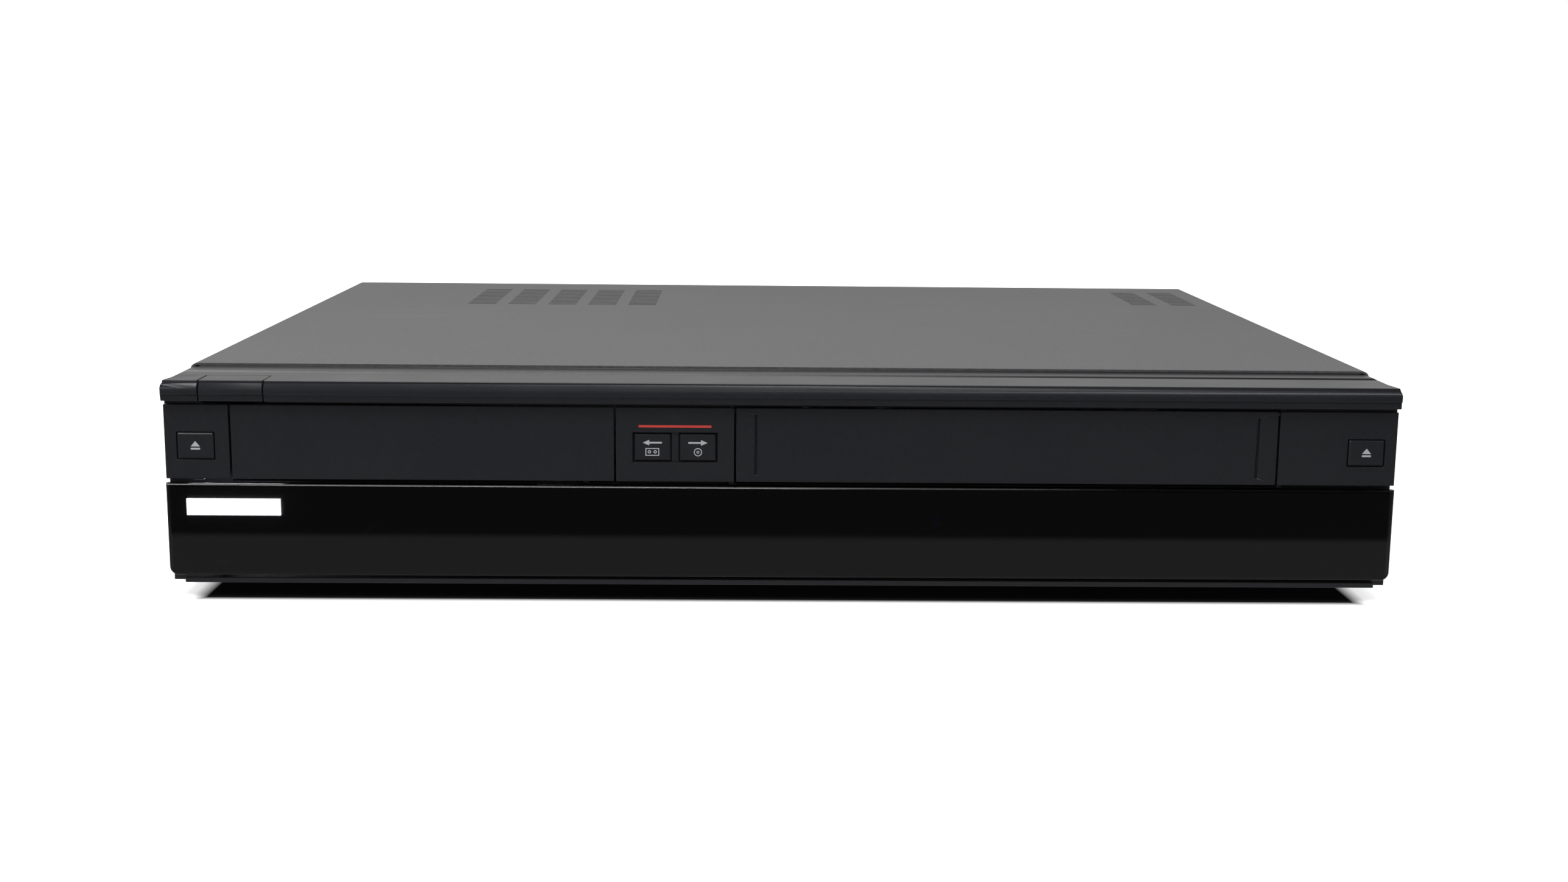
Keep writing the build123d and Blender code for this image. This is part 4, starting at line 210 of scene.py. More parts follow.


def finish(name, colour, rough, grain=1.0, bump=0.02, metallic=0.0, mottle=0.08, patch=60.0, wear=0.05,
           stretch=(1, 1, 1), speckle=0.0, scratches=0.0, dust_and_sheen=0.0):
    """A surface with fine grain in relief and broad patches in tone and gloss.

    grain and patch are sizes in millimetres; stretch draws the grain out, as brushing does. speckle
    gives the grain its own light and dark, scratches is how pale the thin rubbed lines are, and
    dust_and_sheen is how much warm grey lies on the faces that look up: dust, and a painted sheen that
    lightens the tops as light from above would.
    """
    made, tree, output = blank(name)
    place = add(tree, "ShaderNodeTexCoord").outputs["Object"]
    drawn = add(tree, "ShaderNodeMapping", {"Vector": place, "Scale": stretch}).outputs["Vector"]
    fine = noise(tree, drawn, grain, Detail=2.0)
    broad = noise(tree, place, patch, Detail=4.0)
    tone = mixed(tree, broad, tinted(colour, 1 - mottle), tinted(colour, 1 + mottle))
    if speckle:
        coarse = noise(tree, drawn, 2 * grain, Detail=3.0)
        dots = ranged(tree, coarse, NOISE_SPAN, (1 - speckle, 1 + speckle))
        tone = mixed(tree, 1.0, tone, dots, blend_type="MULTIPLY")
    if scratches:
        turned = add(tree, "ShaderNodeMapping", {"Vector": place, "Rotation": SCRATCH_TURN,
                                                 "Scale": SCRATCH_DRAW}).outputs["Vector"]
        rub = noise(tree, turned, SCRATCH_SIZE, Detail=6.0, Distortion=0.4)
        line = ranged(tree, rub, SCRATCH_SPAN, (0.0, scratches))
        tone = mixed(tree, line, tone, opaque(SCRATCH_TONE))
    # Dust and a painted sheen: faces that look up are made a lighter warm grey.
    if dust_and_sheen:
        normal = add(tree, "ShaderNodeNewGeometry").outputs["Normal"]
        up = add(tree, "ShaderNodeSeparateXYZ", {"Vector": normal}).outputs["Z"]
        dust_and_sheen_share = ranged(tree, up, DUST_AND_SHEEN_SPAN, (0.0, dust_and_sheen))
        tone = mixed(tree, dust_and_sheen_share, tone, opaque(DUST_AND_SHEEN_TONE))
    gloss = ranged(tree, broad, NOISE_SPAN, (rough - wear, rough + wear))
    relief = add(tree, "ShaderNodeBump", {"Height": fine, "Strength": 1.0, "Distance": bump * MM})
    shader = add(tree, "ShaderNodeBsdfPrincipled", {
        "Base Color": tone, "Roughness": gloss, "Normal": relief.outputs["Normal"], "Metallic": metallic})
    tree.links.new(shader.outputs["BSDF"], output.inputs["Surface"])
    return made


def glowing(name, colour, strength):
    """Lit plastic: an even glow over a pale satin surface."""
    made, tree, output = blank(name)
    shader = add(tree, "ShaderNodeBsdfPrincipled", {
        "Base Color": opaque(colour), "Roughness": 0.4, "Emission Color": opaque(colour),
        "Emission Strength": strength})
    tree.links.new(shader.outputs["BSDF"], output.inputs["Surface"])
    return made


ACRYLIC_INDEX = 1.49                        # of refraction
SMEAR_SIZE, SMEAR_SPAN = 45, (0.35, 0.75)   # millimetres, and the part of the noise that it spans
SMEAR_DULLING = 3                           # how many times as rough a smear is


def smoked(name, colour, rough):
    """Smoked acrylic, cast clear and polished: dark all through, with a mirror gloss and faint smears."""
    made, tree, output = blank(name)
    place = add(tree, "ShaderNodeTexCoord").outputs["Object"]
    smear = noise(tree, place, SMEAR_SIZE, Detail=5.0)
    gloss = ranged(tree, smear, SMEAR_SPAN, (rough, rough * SMEAR_DULLING))
    shader = add(tree, "ShaderNodeBsdfPrincipled", {
        "Base Color": opaque(colour), "Roughness": gloss, "Transmission Weight": 1.0, "IOR": ACRYLIC_INDEX})
    tree.links.new(shader.outputs["BSDF"], output.inputs["Surface"])
    return made


NYLONS = {"yellow": "#d9b11c", "red": "#a51d1d", "green": "#1e7a3c", "blue": "#2450a8"}


def make_materials():
    """Every finish of the player, by a short name."""
    chosen = bpy.context.scene.player_finishes
    made = {}
    # Steel with baked textured paint: a fine pebble that spreads the light and darkens between grains.
    # The pebble is drawn at 0.9 mm, about twice the real one, so that it shows.
    made["cover"] = finish("textured_painted_steel", chosen.cover, 0.50, grain=0.9, bump=0.06, mottle=0.05,
                           patch=110, wear=0.02, speckle=0.16, scratches=0.08, dust_and_sheen=0.10)
    # ABS moulded in a spark-eroded tool: an even satin that shines only at a low angle.
    made["bezel"] = finish("spark_textured_abs", chosen.bezel, 0.34, grain=0.6, bump=0.02, mottle=0.05,
                           patch=40, wear=0.03, speckle=0.10, dust_and_sheen=0.10)
    # The same plastic, smoother, behind the door.
    made["fascia"] = finish("moulded_black_abs", chosen.fascia, 0.38, grain=0.4, bump=0.01)
    made["door"] = smoked("smoked_cast_acrylic", chosen.smoked, 0.02)
    made["window"] = smoked("clear_polished_acrylic", linear("#50545c"), 0.03)
    made["display"] = finish("display_tube_glass", linear("#2c3436"), 0.08, grain=2, bump=0.0, patch=25)
    # Zinc plate over rolled steel: a cool metal with large soft crystals.
    made["zinc"] = finish("zinc_plated_steel", linear("#a9adac"), 0.36, grain=0.8, bump=0.01, metallic=1.0,
                          mottle=0.12, patch=9, wear=0.10)
    made["ground"] = finish("ground_polished_steel", linear("#c4c6c8"), 0.18, grain=0.3, bump=0.004,
                            metallic=1.0, stretch=(1, 1, 0.04))
    # Aluminium turned on a lathe: fine rings round the axis.
    made["turned"] = finish("turned_aluminium", linear("#c9cbce"), 0.24, grain=0.5, bump=0.01, metallic=1.0,
                            stretch=(0.02, 0.02, 1))
    made["rubber"] = finish("moulded_black_rubber", linear("#1b1b1c"), 0.78, grain=0.6, bump=0.03)
    made["black"] = finish("moulded_black_polystyrene", linear("#1d1d1f"), 0.5, grain=0.4, bump=0.015)
    made["tray"] = finish("moulded_black_acetal", linear("#1e1f21"), 0.36, grain=0.5, bump=0.008)
    made["grey"] = finish("moulded_grey_acetal", linear("#8b8c8e"), 0.42, grain=0.5, bump=0.01)
    made["white"] = finish("moulded_white_acetal", linear("#d8d7d0"), 0.42, grain=0.5, bump=0.01)
    made["nickel"] = finish("nickel_plated_brass", linear("#b9b6ae"), 0.20, grain=0.4, bump=0.004,
                            metallic=1.0)
    for colour, code in NYLONS.items():
        made[colour] = finish("moulded_" + colour + "_nylon", linear(code), 0.38, grain=0.4, bump=0.01)
    made["sleeve"] = finish("shrunk_pvc_sleeve", linear("#1b2440"), 0.32, grain=0.6, bump=0.006)
    made["can"] = finish("extruded_aluminium", linear("#b4b6b8"), 0.34, grain=0.4, bump=0.006, metallic=1.0,
                         stretch=(1, 1, 0.05))
    made["board"] = finish("solder_masked_laminate", chosen.board, 0.34, grain=1.6, bump=0.02, mottle=0.22,
                           patch=3.0)
    made["lamp"] = glowing("lit_white_diffuser", chosen.lamp, 52.0)
    made["segment"] = glowing("lit_blue_segment", linear("#4a58d8"), 6.0)
    made["mark"] = finish("screen_printed_grey_ink", chosen.marks, 0.5, grain=0.3, bump=0.005)
    made["rule"] = finish("screen_printed_red_ink", chosen.rule, 0.5, grain=0.3, bump=0.005)
    return made


NODE_FINISH = {
    "cover": ("top_cover",),
    "zinc": ("base_pan", "rear_panel", "cover_screws", "deck_plate", "traverse", "clamp_bridge",
             "carriage_sides", "carriage_slider", "cassette_basket", "tuner", "pinch_arm", "loading_motor",
             "spindle_motor"),
    "rubber": ("feet", "loading_belt", "pinch_roller", "mains_gland"),
    "bezel": ("front_bezel", "tray_front", "cassette_door", "power_button", "disc_eject_button",
              "cassette_eject_button", "dubbing_button_left", "dubbing_button_right"),
    "fascia": ("key_rewind", "key_play", "key_forward", "key_stop", "key_record", "key_channel"),
    "door": ("front_door",),
    "window": ("display_filter",),
    "display": ("display_tube",),
    "board": ("front_boards", "circuit_boards"),
    "lamp": ("indicator_bar",),
    "turned": ("drum_lower", "drum_upper", "capstan"),
    "ground": ("guide_rods", "tape_guide_left", "tape_guide_right", "tape_heads"),
    "black": ("front_jacks", "jack_blocks", "signal_sockets", "disc_clamp", "tact_switches", "capstan_motor",
              "motor_pulley", "optical_pickup"),
    "tray": ("disc_tray", "loader_frame", "turntable"),
    "grey": ("supply_reel_table", "takeup_reel_table"),
    "white": ("tray_pinion",),
    "can": ("power_parts",),
}
# The finishes that the nodes and the new pieces take.
MATERIALS = {}      # by the same short names, once the finishes are made


def dress(obj, kind):
    """Gives an object one finish."""
    obj.data.materials.clear()
    obj.data.materials.append(MATERIALS[kind])


def body_of(node):
    return frame["nodes"][node]["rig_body"]


def piece(name, mesh, kind, body, *nodes, smooth=30):
    """Turns a bmesh into a named piece that rides on a body and stands for the nodes.

    Its shading runs on over an edge that bends less than smooth degrees.
    """
    data = bpy.data.meshes.new(name)
    mesh.to_mesh(data)
    mesh.free()
    data.shade_smooth()
    data.set_sharp_from_angle(angle=math.radians(smooth))
    obj = bpy.data.objects.new(name, data)
    bpy.context.scene.collection.objects.link(obj)
    dress(obj, kind)
    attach(obj, body)
    if nodes:
        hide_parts(*nodes)
    return obj


# The brow's bead, fuller than its solid, with a low step over it: the y and z in millimetres of each
# line of its section, and where that line goes.
BROW_BEAD = (((-172.0, 75.675), (-172.0, 75.0)), ((-171.658, 76.358), (-170.8, 76.7)),
             ((-170.975, 76.7), (-170.65, 77.7)))
BEAD_GRIP = 0.05 * MM                       # a corner this near to a line is on it
BEAD_HEIGHTS, BEAD_BACK = (72.5, 76.8), -169.5  # the heights between which its faces lie, and their rear


def rounded_brow(mesh):
    """Moves the lines of the bead's section in a copy of the bezel or the power button."""
    for vert in mesh.verts:
        for (y, z), (new_y, new_z) in BROW_BEAD:
            if abs(vert.co.y - y * MM) < BEAD_GRIP and abs(vert.co.z - z * MM) < BEAD_GRIP:
                vert.co.y, vert.co.z = new_y * MM, new_z * MM
                break


DOUBLES = 0.002 * MM                        # corners closer than this are merged
FLAT_TURN = math.radians(0.5)               # faces that bend less than this at an edge are joined
SHARP_TURN = math.radians(50)               # edges that bend more than this are rounded,
SHORTEST = 3                                # if they are longer than this many widths
SMOOTH_TURN = 48                            # degrees up to which the shading runs on over an edge
BROAD = 4 * MM * MM                         # faces from this area up are shaded flat


def softened(node, kind, width, spared=None, bead=False):
    """Stands for a CAD node with a copy whose sharp edges are rounded by width millimetres.

    No edge between the two values of x in spared, in millimetres, is rounded. bead also gives the copy
    the fuller bead of the brow.
    """
    mesh = bmesh.new()
    mesh.from_mesh(frame["nodes"][node].data)
    bmesh.ops.remove_doubles(mesh, verts=mesh.verts, dist=DOUBLES)
    if bead:
        rounded_brow(mesh)
    bmesh.ops.dissolve_limit(mesh, angle_limit=FLAT_TURN, verts=mesh.verts, edges=mesh.edges)
    sharp = [edge for edge in mesh.edges
             if len(edge.link_faces) == 2 and edge.calc_face_angle() > SHARP_TURN
             and edge.calc_length() > SHORTEST * width * MM]
    if spared:
        sharp = [edge for edge in sharp
                 if not all(spared[0] * MM < vert.co.x < spared[1] * MM for vert in edge.verts)]
    bmesh.ops.bevel(mesh, geom=sharp, offset=width * MM, offset_type="OFFSET", segments=2, profile=0.5,
                    affect="EDGES", clamp_overlap=False, material=-1)
    bmesh.ops.triangulate(mesh, faces=[face for face in mesh.faces if len(face.verts) > 4])
    # A corner that the rounding overshoots is brought back to the solid's own reach.
    low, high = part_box(node)
    for vert in mesh.verts:
        vert.co = [min(max(at, least), most) for at, least, most in zip(vert.co, low, high)]
    obj = piece(node + "_finished", mesh, kind, body_of(node), node, smooth=SMOOTH_TURN)
    # Broad flat faces stay flat, so that the shading turns only on the rounded edges and the bead.
    for face in obj.data.polygons:
        on_bead = (bead and BEAD_HEIGHTS[0] < face.center.z / MM < BEAD_HEIGHTS[1]
                   and face.center.y < BEAD_BACK * MM)
        face.use_smooth = on_bead or face.area < BROAD


def boxed(mesh, x0, x1, y0, y1, z0, z1, soften=0.2):
    """Adds a block with softened edges; all sizes in millimetres."""
    size = ((x1 - x0) * MM, (y1 - y0) * MM, (z1 - z0) * MM)
    place = Matrix.Translation(((x0 + x1) / 2 * MM, (y0 + y1) / 2 * MM, (z0 + z1) / 2 * MM))
    made = bmesh.ops.create_cube(mesh, size=1.0, matrix=place @ Matrix.Diagonal((*size, 1)))
    edges = list({edge for vert in made["verts"] for edge in vert.link_edges})
    bmesh.ops.bevel(mesh, geom=edges, offset=soften * MM, offset_type="OFFSET", segments=1, profile=0.5,
                    affect="EDGES", material=-1)


def lathed(mesh, centre, axis, profile, segments=28):
    """Spins a closed profile of (radius, along) millimetres round an axis through centre."""
    side = Vector((1, 0, 0))
    origin = Vector(centre) * MM
    line = [mesh.verts.new(origin + side * (radius * MM) + Vector(axis) * (along * MM))
            for radius, along in profile]
    edges = [mesh.edges.new((line[place - 1], line[place])) for place in range(len(line))]
    bmesh.ops.spin(mesh, geom=line + edges, cent=origin, axis=axis, dvec=(0, 0, 0), angle=2 * math.pi,
                   steps=segments, use_merge=True, use_duplicate=False)


# ---------------------------------------------------------------- printed marks
def raised(mesh, faces, ink):
    """Gives flat faces the thickness of the ink, towards the front."""
    out = bmesh.ops.extrude_face_region(mesh, geom=faces)
    moved = [item for item in out["geom"] if isinstance(item, bmesh.types.BMVert)]
    bmesh.ops.translate(mesh, verts=moved, vec=(0, -ink, 0))


def printed(mesh, outline, y, ink):
    """One flat shape of (x, z) millimetres, raised from the plane y by the ink."""
    corners = [mesh.verts.new((x * MM, y, z * MM)) for x, z in outline]
    raised(mesh, [mesh.faces.new(corners)], ink)


def ringed(mesh, x, z, inner, outer, y, ink):
    """A printed ring."""
    loops = []
    for radius in (inner, outer):
        turn = Matrix.Translation((x * MM, y, z * MM)) @ Matrix.Rotation(math.pi / 2, 4, "X")
        made = bmesh.ops.create_circle(mesh, cap_ends=False, segments=24, radius=radius * MM, matrix=turn)
        loops += [edge for edge in mesh.edges if set(edge.verts) <= set(made["verts"])]
    raised(mesh, bmesh.ops.bridge_loops(mesh, edges=loops)["faces"], ink)


def closed(mesh):
    """Turns the faces of closed shapes outwards."""
    bmesh.ops.recalc_face_normals(mesh, faces=mesh.faces)
    return mesh


def bar(x0, x1, z0, z1):
    """The outline of an upright rectangle."""
    return [(x0, z0), (x1, z0), (x1, z1), (x0, z1)]


def framed(x0, x1, z0, z1, line):
    """The outlines of four bars that draw a rectangle with a line of this width."""
    return (bar(x0, x1, z1 - line, z1), bar(x0, x1, z0, z0 + line),
            bar(x0, x0 + line, z0 + line, z1 - line), bar(x1 - line, x1, z0 + line, z1 - line))


def middle_of(node):
    """Where a node's front face is: x and z of its middle in millimetres, and its y."""
    low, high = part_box(node)
    return (low.x + high.x) / 2 / MM, (low.z + high.z) / 2 / MM, low.y


SOFT_EDGES = {"tray_front": 0.3, "cassette_door": 0.3, "disc_eject_button": 0.2,
              "cassette_eject_button": 0.2, "dubbing_button_left": 0.2, "dubbing_button_right": 0.2}
SPARED_ROOM = 1             # millimetres to each side of the middle buttons where the bezel stays sharp


class PLAYER_OT_finishes(bpy.types.Operator):
    """Gives every piece of the frame its finish and rounds the edges that show"""
    bl_idname = "player.finishes"
    bl_label = "Finishes"

    def execute(self, context):
        MATERIALS.update(make_materials())
        for kind, nodes in NODE_FINISH.items():
            for node in nodes:
                dress(frame["nodes"][node], kind)
        low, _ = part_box("dubbing_button_left")
        _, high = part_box("dubbing_button_right")
        softened("front_bezel", "bezel", 0.22, bead=True,
                 spared=(low.x / MM - SPARED_ROOM, high.x / MM + SPARED_ROOM))
        softened("power_button", "bezel", 0.25, bead=True)
        for node, width in SOFT_EDGES.items():
            softened(node, "bezel", width)
        return {"FINISHED"}


# The marks on the buttons in millimetres, from the middle of each button.
EJECT_FOOT, EJECT_TIP, EJECT_BAR = -0.2, 1.7, (-1.3, -0.65)     # heights of the triangle and its bar
ARROW_HEIGHT, ARROW_LINE, ARROW_HEAD = 1.65, 0.3, 1.0           # the middle, and half the shaft and head
HEAD_LENGTH = 2.3
CASSETTE, CASSETTE_LINE = (-2.4, 2.4, -3.0, -0.25), 0.3         # a rectangle drawn with a line
HUB_ASIDE, HUB_HEIGHT, HUB_RADII = 1, -1.6, (0.28, 0.6)
DISC_HEIGHT, DISC_RADII = -1.65, ((1.15, 1.45), (0.25, 0.5))
DUBBING_RULE = (-50.9, -25.6, 61.9, 62.7)                       # in the frame, over both middle buttons


class PLAYER_OT_marks(bpy.types.Operator):
    """Prints the eject marks, the arrows with their pictures and the rule"""
    bl_idname = "player.marks"
    bl_label = "Printed marks"

    def execute(self, context):
        sizes = context.scene.player_marks
        ink = sizes.ink
        for node in ("disc_eject_button", "cassette_eject_button"):
            x, z, y = middle_of(node)
            half = sizes.eject_width / MM / 2
            foot = z + EJECT_FOOT
            mesh = bmesh.new()
            printed(mesh, [(x - half, foot), (x + half, foot), (x, z + EJECT_TIP)], y, ink)
            printed(mesh, bar(x - half, x + half, z + EJECT_BAR[0], z + EJECT_BAR[1]), y, ink)
            piece(node + "_mark", closed(mesh), "mark", body_of(node))
        for node, side in (("dubbing_button_left", -1), ("dubbing_button_right", 1)):
            x, z, y = middle_of(node)
            half = sizes.arrow_length / MM / 2
            tail, neck, tip = x - side * half, x + side * (half - HEAD_LENGTH), x + side * half
            level = z + ARROW_HEIGHT
            mesh = bmesh.new()
            printed(mesh, [(tail, level - ARROW_LINE), (neck, level - ARROW_LINE), (neck, level - ARROW_HEAD),
                           (tip, level), (neck, level + ARROW_HEAD), (neck, level + ARROW_LINE),
                           (tail, level + ARROW_LINE)], y, ink)
            if side < 0:
                x0, x1, z0, z1 = CASSETTE
                for shape in framed(x + x0, x + x1, z + z0, z + z1, CASSETTE_LINE):
                    printed(mesh, shape, y, ink)
                for hub in (-HUB_ASIDE, HUB_ASIDE):
                    ringed(mesh, x + hub, z + HUB_HEIGHT, *HUB_RADII, y, ink)
            else:
                for inner, outer in DISC_RADII:
                    ringed(mesh, x, z + DISC_HEIGHT, inner, outer, y, ink)
            piece(node + "_mark", closed(mesh), "mark", body_of(node))
        low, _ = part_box("tray_front")
        mesh = bmesh.new()
        printed(mesh, bar(*DUBBING_RULE), low.y, ink)
        piece("dubbing_rule", closed(mesh), "rule", "chassis")
        return {"FINISHED"}


# The signs on the keys in millimetres, from the middle of each key.
SIGN = 1.2                  # half the height of a sign, and half the length of a plus or a minus
PLAY_TIP = 1.44
CHANNEL_ASIDE, CHANNEL_LINE = 3.2, 0.2      # to the middle of the minus and of the plus, and half their line
RECORD_HOLE = 0.15
KEY_SIGNS = {
    "key_rewind": [[(0, 0), (2 * SIGN, SIGN), (2 * SIGN, -SIGN)], [(-2 * SIGN, 0), (0, SIGN), (0, -SIGN)]],
    "key_play": [[(-SIGN, SIGN), (PLAY_TIP, 0), (-SIGN, -SIGN)]],
    "key_forward": [[(0, 0), (-2 * SIGN, SIGN), (-2 * SIGN, -SIGN)], [(2 * SIGN, 0), (0, SIGN), (0, -SIGN)]],
    "key_stop": [bar(-SIGN, SIGN, -SIGN, SIGN)],
    "key_channel": [bar(-CHANNEL_ASIDE - SIGN, -CHANNEL_ASIDE + SIGN, -CHANNEL_LINE, CHANNEL_LINE),
                    bar(CHANNEL_ASIDE - SIGN, CHANNEL_ASIDE + SIGN, -CHANNEL_LINE, CHANNEL_LINE),
                    bar(CHANNEL_ASIDE - CHANNEL_LINE, CHANNEL_ASIDE + CHANNEL_LINE, -SIGN, SIGN)],
}


class PLAYER_OT_key_marks(bpy.types.Operator):
    """Prints the signs of the tape's movement on the keys behind the drop door"""
    bl_idname = "player.key_marks"
    bl_label = "Key marks"

    def execute(self, context):
        ink = context.scene.player_marks.ink
        for node, shapes in KEY_SIGNS.items():
            x, z, y = middle_of(node)
            mesh = bmesh.new()
            for shape in shapes:
                printed(mesh, [(x + across, z + up) for across, up in shape], y, ink)
            piece(node + "_mark", closed(mesh), "mark", body_of(node))
        x, z, y = middle_of("key_record")
        mesh = bmesh.new()
        ringed(mesh, x, z, RECORD_HOLE, SIGN, y, ink)
        piece("key_record_mark", closed(mesh), "rule", body_of("key_record"))
        return {"FINISHED"}


SEGMENT, SEGMENT_LINE = (53.35, 55.45, 25.75, 28.25), 0.3       # in the frame, in millimetres
SEGMENT_DEPTH = 0.05 * MM


class PLAYER_OT_display(bpy.types.Operator):
    """Lights one small frame of the display tube"""
    bl_idname = "player.display"
    bl_label = "Display segment"

    def execute(self, context):
        _, _, y = middle_of("display_tube")
        mesh = bmesh.new()
        for shape in framed(*SEGMENT, SEGMENT_LINE):
            printed(mesh, shape, y, SEGMENT_DEPTH)
        piece("display_segment", closed(mesh), "segment", "chassis")
        return {"FINISHED"}


# ---------------------------------------------------------------- connectors
# All in millimetres, and places in the frame. Radii of a phono socket: the hole for the plug's pin, the
# insulator, the sleeve and the coloured collar round it.
PIN_HOLE, INSULATOR, SLEEVE, COLLAR = 1.6, 3.4, 4.15, 5.3
SINK, CHAMFER = 0.4, 0.3            # how far the insulator's face lies back, and its edge and the collar's
RIM, RIM_DEPTH, COLLAR_EDGE = 0.35, 0.4, 0.2    # how far the sleeve's end and the collar's end draw in
ROW_COLOURS = ("yellow", "white", "red")
# The blocks of the rear sockets: the x of the first column and the colours of the lower row.
REAR_BLOCKS = ((96.0, ROW_COLOURS), (24.0, ("green", "blue", "red")))
REAR_APART, UPPER_ROW, LOWER_ROW = 14, 40, 26
BLOCK_ENDS = (-5.6, 33.6)           # from the first column
BLOCK_FOOT, FOOT_BACK = 20.4, 1.2   # the height of the block's foot, and how far its face lies back
FRONT_COLUMN, FRONT_APART, FRONT_ROW, FRONT_REACH = -143, 15, 22, 3.2
AERIAL_X, AERIAL_ROWS = 168, (46, 27)
THREAD_ROOT, THREAD_CREST, THREAD_PITCH, THREAD_TURNS = 4.8, 5.1, 0.8, 10
THREAD_START, THREAD_END, THREAD_BORE = 1.2, 9.6, 4.7
NUT_RADIUS, NUT_HEIGHT, NUT_EDGE = 6.8, 1.5, 0.4


def phono(meshes, colour, x, z, base, reach, way):
    """One socket: a nickel sleeve, a coloured insulator in it and a coloured collar round it."""
    axis = (0, way, 0)
    lathed(meshes["nickel"], (x, base, z), axis,
           [(INSULATOR, 0), (SLEEVE, 0), (SLEEVE, reach - RIM_DEPTH), (SLEEVE - RIM, reach),
            (INSULATOR, reach)])
    lathed(meshes[colour], (x, base, z), axis,
           [(PIN_HOLE, 0), (INSULATOR, 0), (INSULATOR, reach - SINK - CHAMFER),
            (INSULATOR - CHAMFER, reach - SINK), (PIN_HOLE, reach - SINK)])
    lathed(meshes[colour], (x, base, z), axis,
           [(SLEEVE, 0), (COLLAR, 0), (COLLAR, CHAMFER), (COLLAR - COLLAR_EDGE, 2 * CHAMFER),
            (SLEEVE, 2 * CHAMFER)])


class PLAYER_OT_sockets(bpy.types.Operator):
    """Builds the phono and aerial sockets on the rear and behind the drop door"""
    bl_idname = "player.sockets"
    bl_label = "Sockets"

    def execute(self, context):
        meshes = {kind: bmesh.new() for kind in ("nickel", "yellow", "white", "red", "green", "blue")}
        low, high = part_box("jack_blocks")
        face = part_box("rear_panel")[1].y / MM
        reach = high.y / MM - face
        body = bmesh.new()
        for first, lower_row in REAR_BLOCKS:
            ends = (first + BLOCK_ENDS[0], first + BLOCK_ENDS[1])
            boxed(body, *ends, low.y / MM, face, BLOCK_FOOT, high.z / MM)
            boxed(body, *ends, low.y / MM, face - FOOT_BACK, low.z / MM, BLOCK_FOOT)
            for column, (upper, lower) in enumerate(zip(ROW_COLOURS, lower_row)):
                phono(meshes, upper, first + REAR_APART * column, UPPER_ROW, face, reach, 1)
                phono(meshes, lower, first + REAR_APART * column, LOWER_ROW, face, reach, 1)
        piece("jack_block_bodies", body, "black", "chassis", "jack_blocks")

        low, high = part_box("front_jacks")
        base = low.y / MM + FRONT_REACH
        body = bmesh.new()
        boxed(body, low.x / MM, high.x / MM, base, high.y / MM, low.z / MM, high.z / MM)
        for column, colour in enumerate(ROW_COLOURS):
            phono(meshes, colour, FRONT_COLUMN + FRONT_APART * column, FRONT_ROW, base, FRONT_REACH, -1)
        piece("front_jack_body", body, "black", "chassis", "front_jacks")

        ridges = []
        for turn in range(THREAD_TURNS):
            along = THREAD_START + THREAD_PITCH / 2 + THREAD_PITCH * turn
            ridges += [(THREAD_ROOT, along), (THREAD_CREST, along + THREAD_PITCH / 2)]
        thread = [(THREAD_BORE, THREAD_START), *ridges, (THREAD_BORE, THREAD_END)]
        nut = [(THREAD_ROOT, 0), (NUT_RADIUS, 0), (NUT_RADIUS, THREAD_START),
               (NUT_RADIUS - NUT_EDGE, NUT_HEIGHT), (THREAD_ROOT, NUT_HEIGHT)]
        for z in AERIAL_ROWS:
            lathed(meshes["nickel"], (AERIAL_X, face, z), (0, 1, 0), thread)
            lathed(meshes["nickel"], (AERIAL_X, face, z), (0, 1, 0), nut, segments=6)
        for kind, mesh in meshes.items():
            piece("socket_" + kind + "_parts", closed(mesh), kind, "chassis")
        return {"FINISHED"}


# Parts on the main board in millimetres. A chip: the x and y of its middle, its width and its depth.
CHIPS = ((-150, -100, 20, 20), (-116, -96, 14, 9), (-92, -70, 24, 24), (-150, -60, 18, 8),
         (-120, -30, 28, 28), (-84, -20, 9, 14), (-160, -10, 12, 6), (-100, 8, 16, 6),
         (60, 148, 14, 8), (-60, 148, 12, 6), (140, 150, 9, 6))
CHIP_HEIGHT = 1.6
# A capacitor: its x and y from the corner of the power supply, its radius and its height.
SUPPLY_CORNER = (-197.0, 44.0)
CAPACITORS = ((19, 12, 9, 32), (105, 24, 6.5, 22), (105, 42, 6.5, 22), (121, 33, 5, 18), (105, 62, 5, 16))
SLEEVE_WALL = 0.25                          # outside the can, and over its end
SLEEVE_INSIDE, SLEEVE_LIP = 0.8, 0.6        # how far the sleeve and its lip reach in from the can's radius


class PLAYER_OT_board_parts(bpy.types.Operator):
    """Sets chips and sleeved capacitors on the boards"""
    bl_idname = "player.board_parts"
    bl_label = "Board parts"

    def execute(self, context):
        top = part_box("circuit_boards")[1].z / MM
        chips = bmesh.new()
        for x, y, wide, deep in CHIPS:
            boxed(chips, x - wide / 2, x + wide / 2, y - deep / 2, y + deep / 2, top, top + CHIP_HEIGHT)
        piece("board_chips", chips, "black", "chassis")
        left, front = SUPPLY_CORNER
        sleeves = bmesh.new()
        for x, y, radius, height in CAPACITORS:
            lathed(sleeves, (left + x, front + y, top), (0, 0, 1),
                   [(radius - SLEEVE_INSIDE, height), (radius - SLEEVE_LIP, height + SLEEVE_WALL),
                    (radius, height + SLEEVE_WALL), (radius + SLEEVE_WALL, height),
                    (radius + SLEEVE_WALL, 0), (radius - SLEEVE_INSIDE, 0)])
        piece("capacitor_sleeves", closed(sleeves), "sleeve", "chassis")
        return {"FINISHED"}


# ---------------------------------------------------------------- stage, in metres
CAMERA_PLACE = (-0.01457, -0.81706, 0.17537)
# Turns of the lens, in radians: to the right, tipped down, rolled, and from looking down to looking ahead.
CAMERA_TURNS = ((-0.022, "Z"), (-0.18, "X"), (-0.0105, "Y"), (math.pi / 2, "X"))
CAMERA_SENSOR, CAMERA_NEAR = 36, 0.01       # millimetres wide, and the nearest distance that it sees
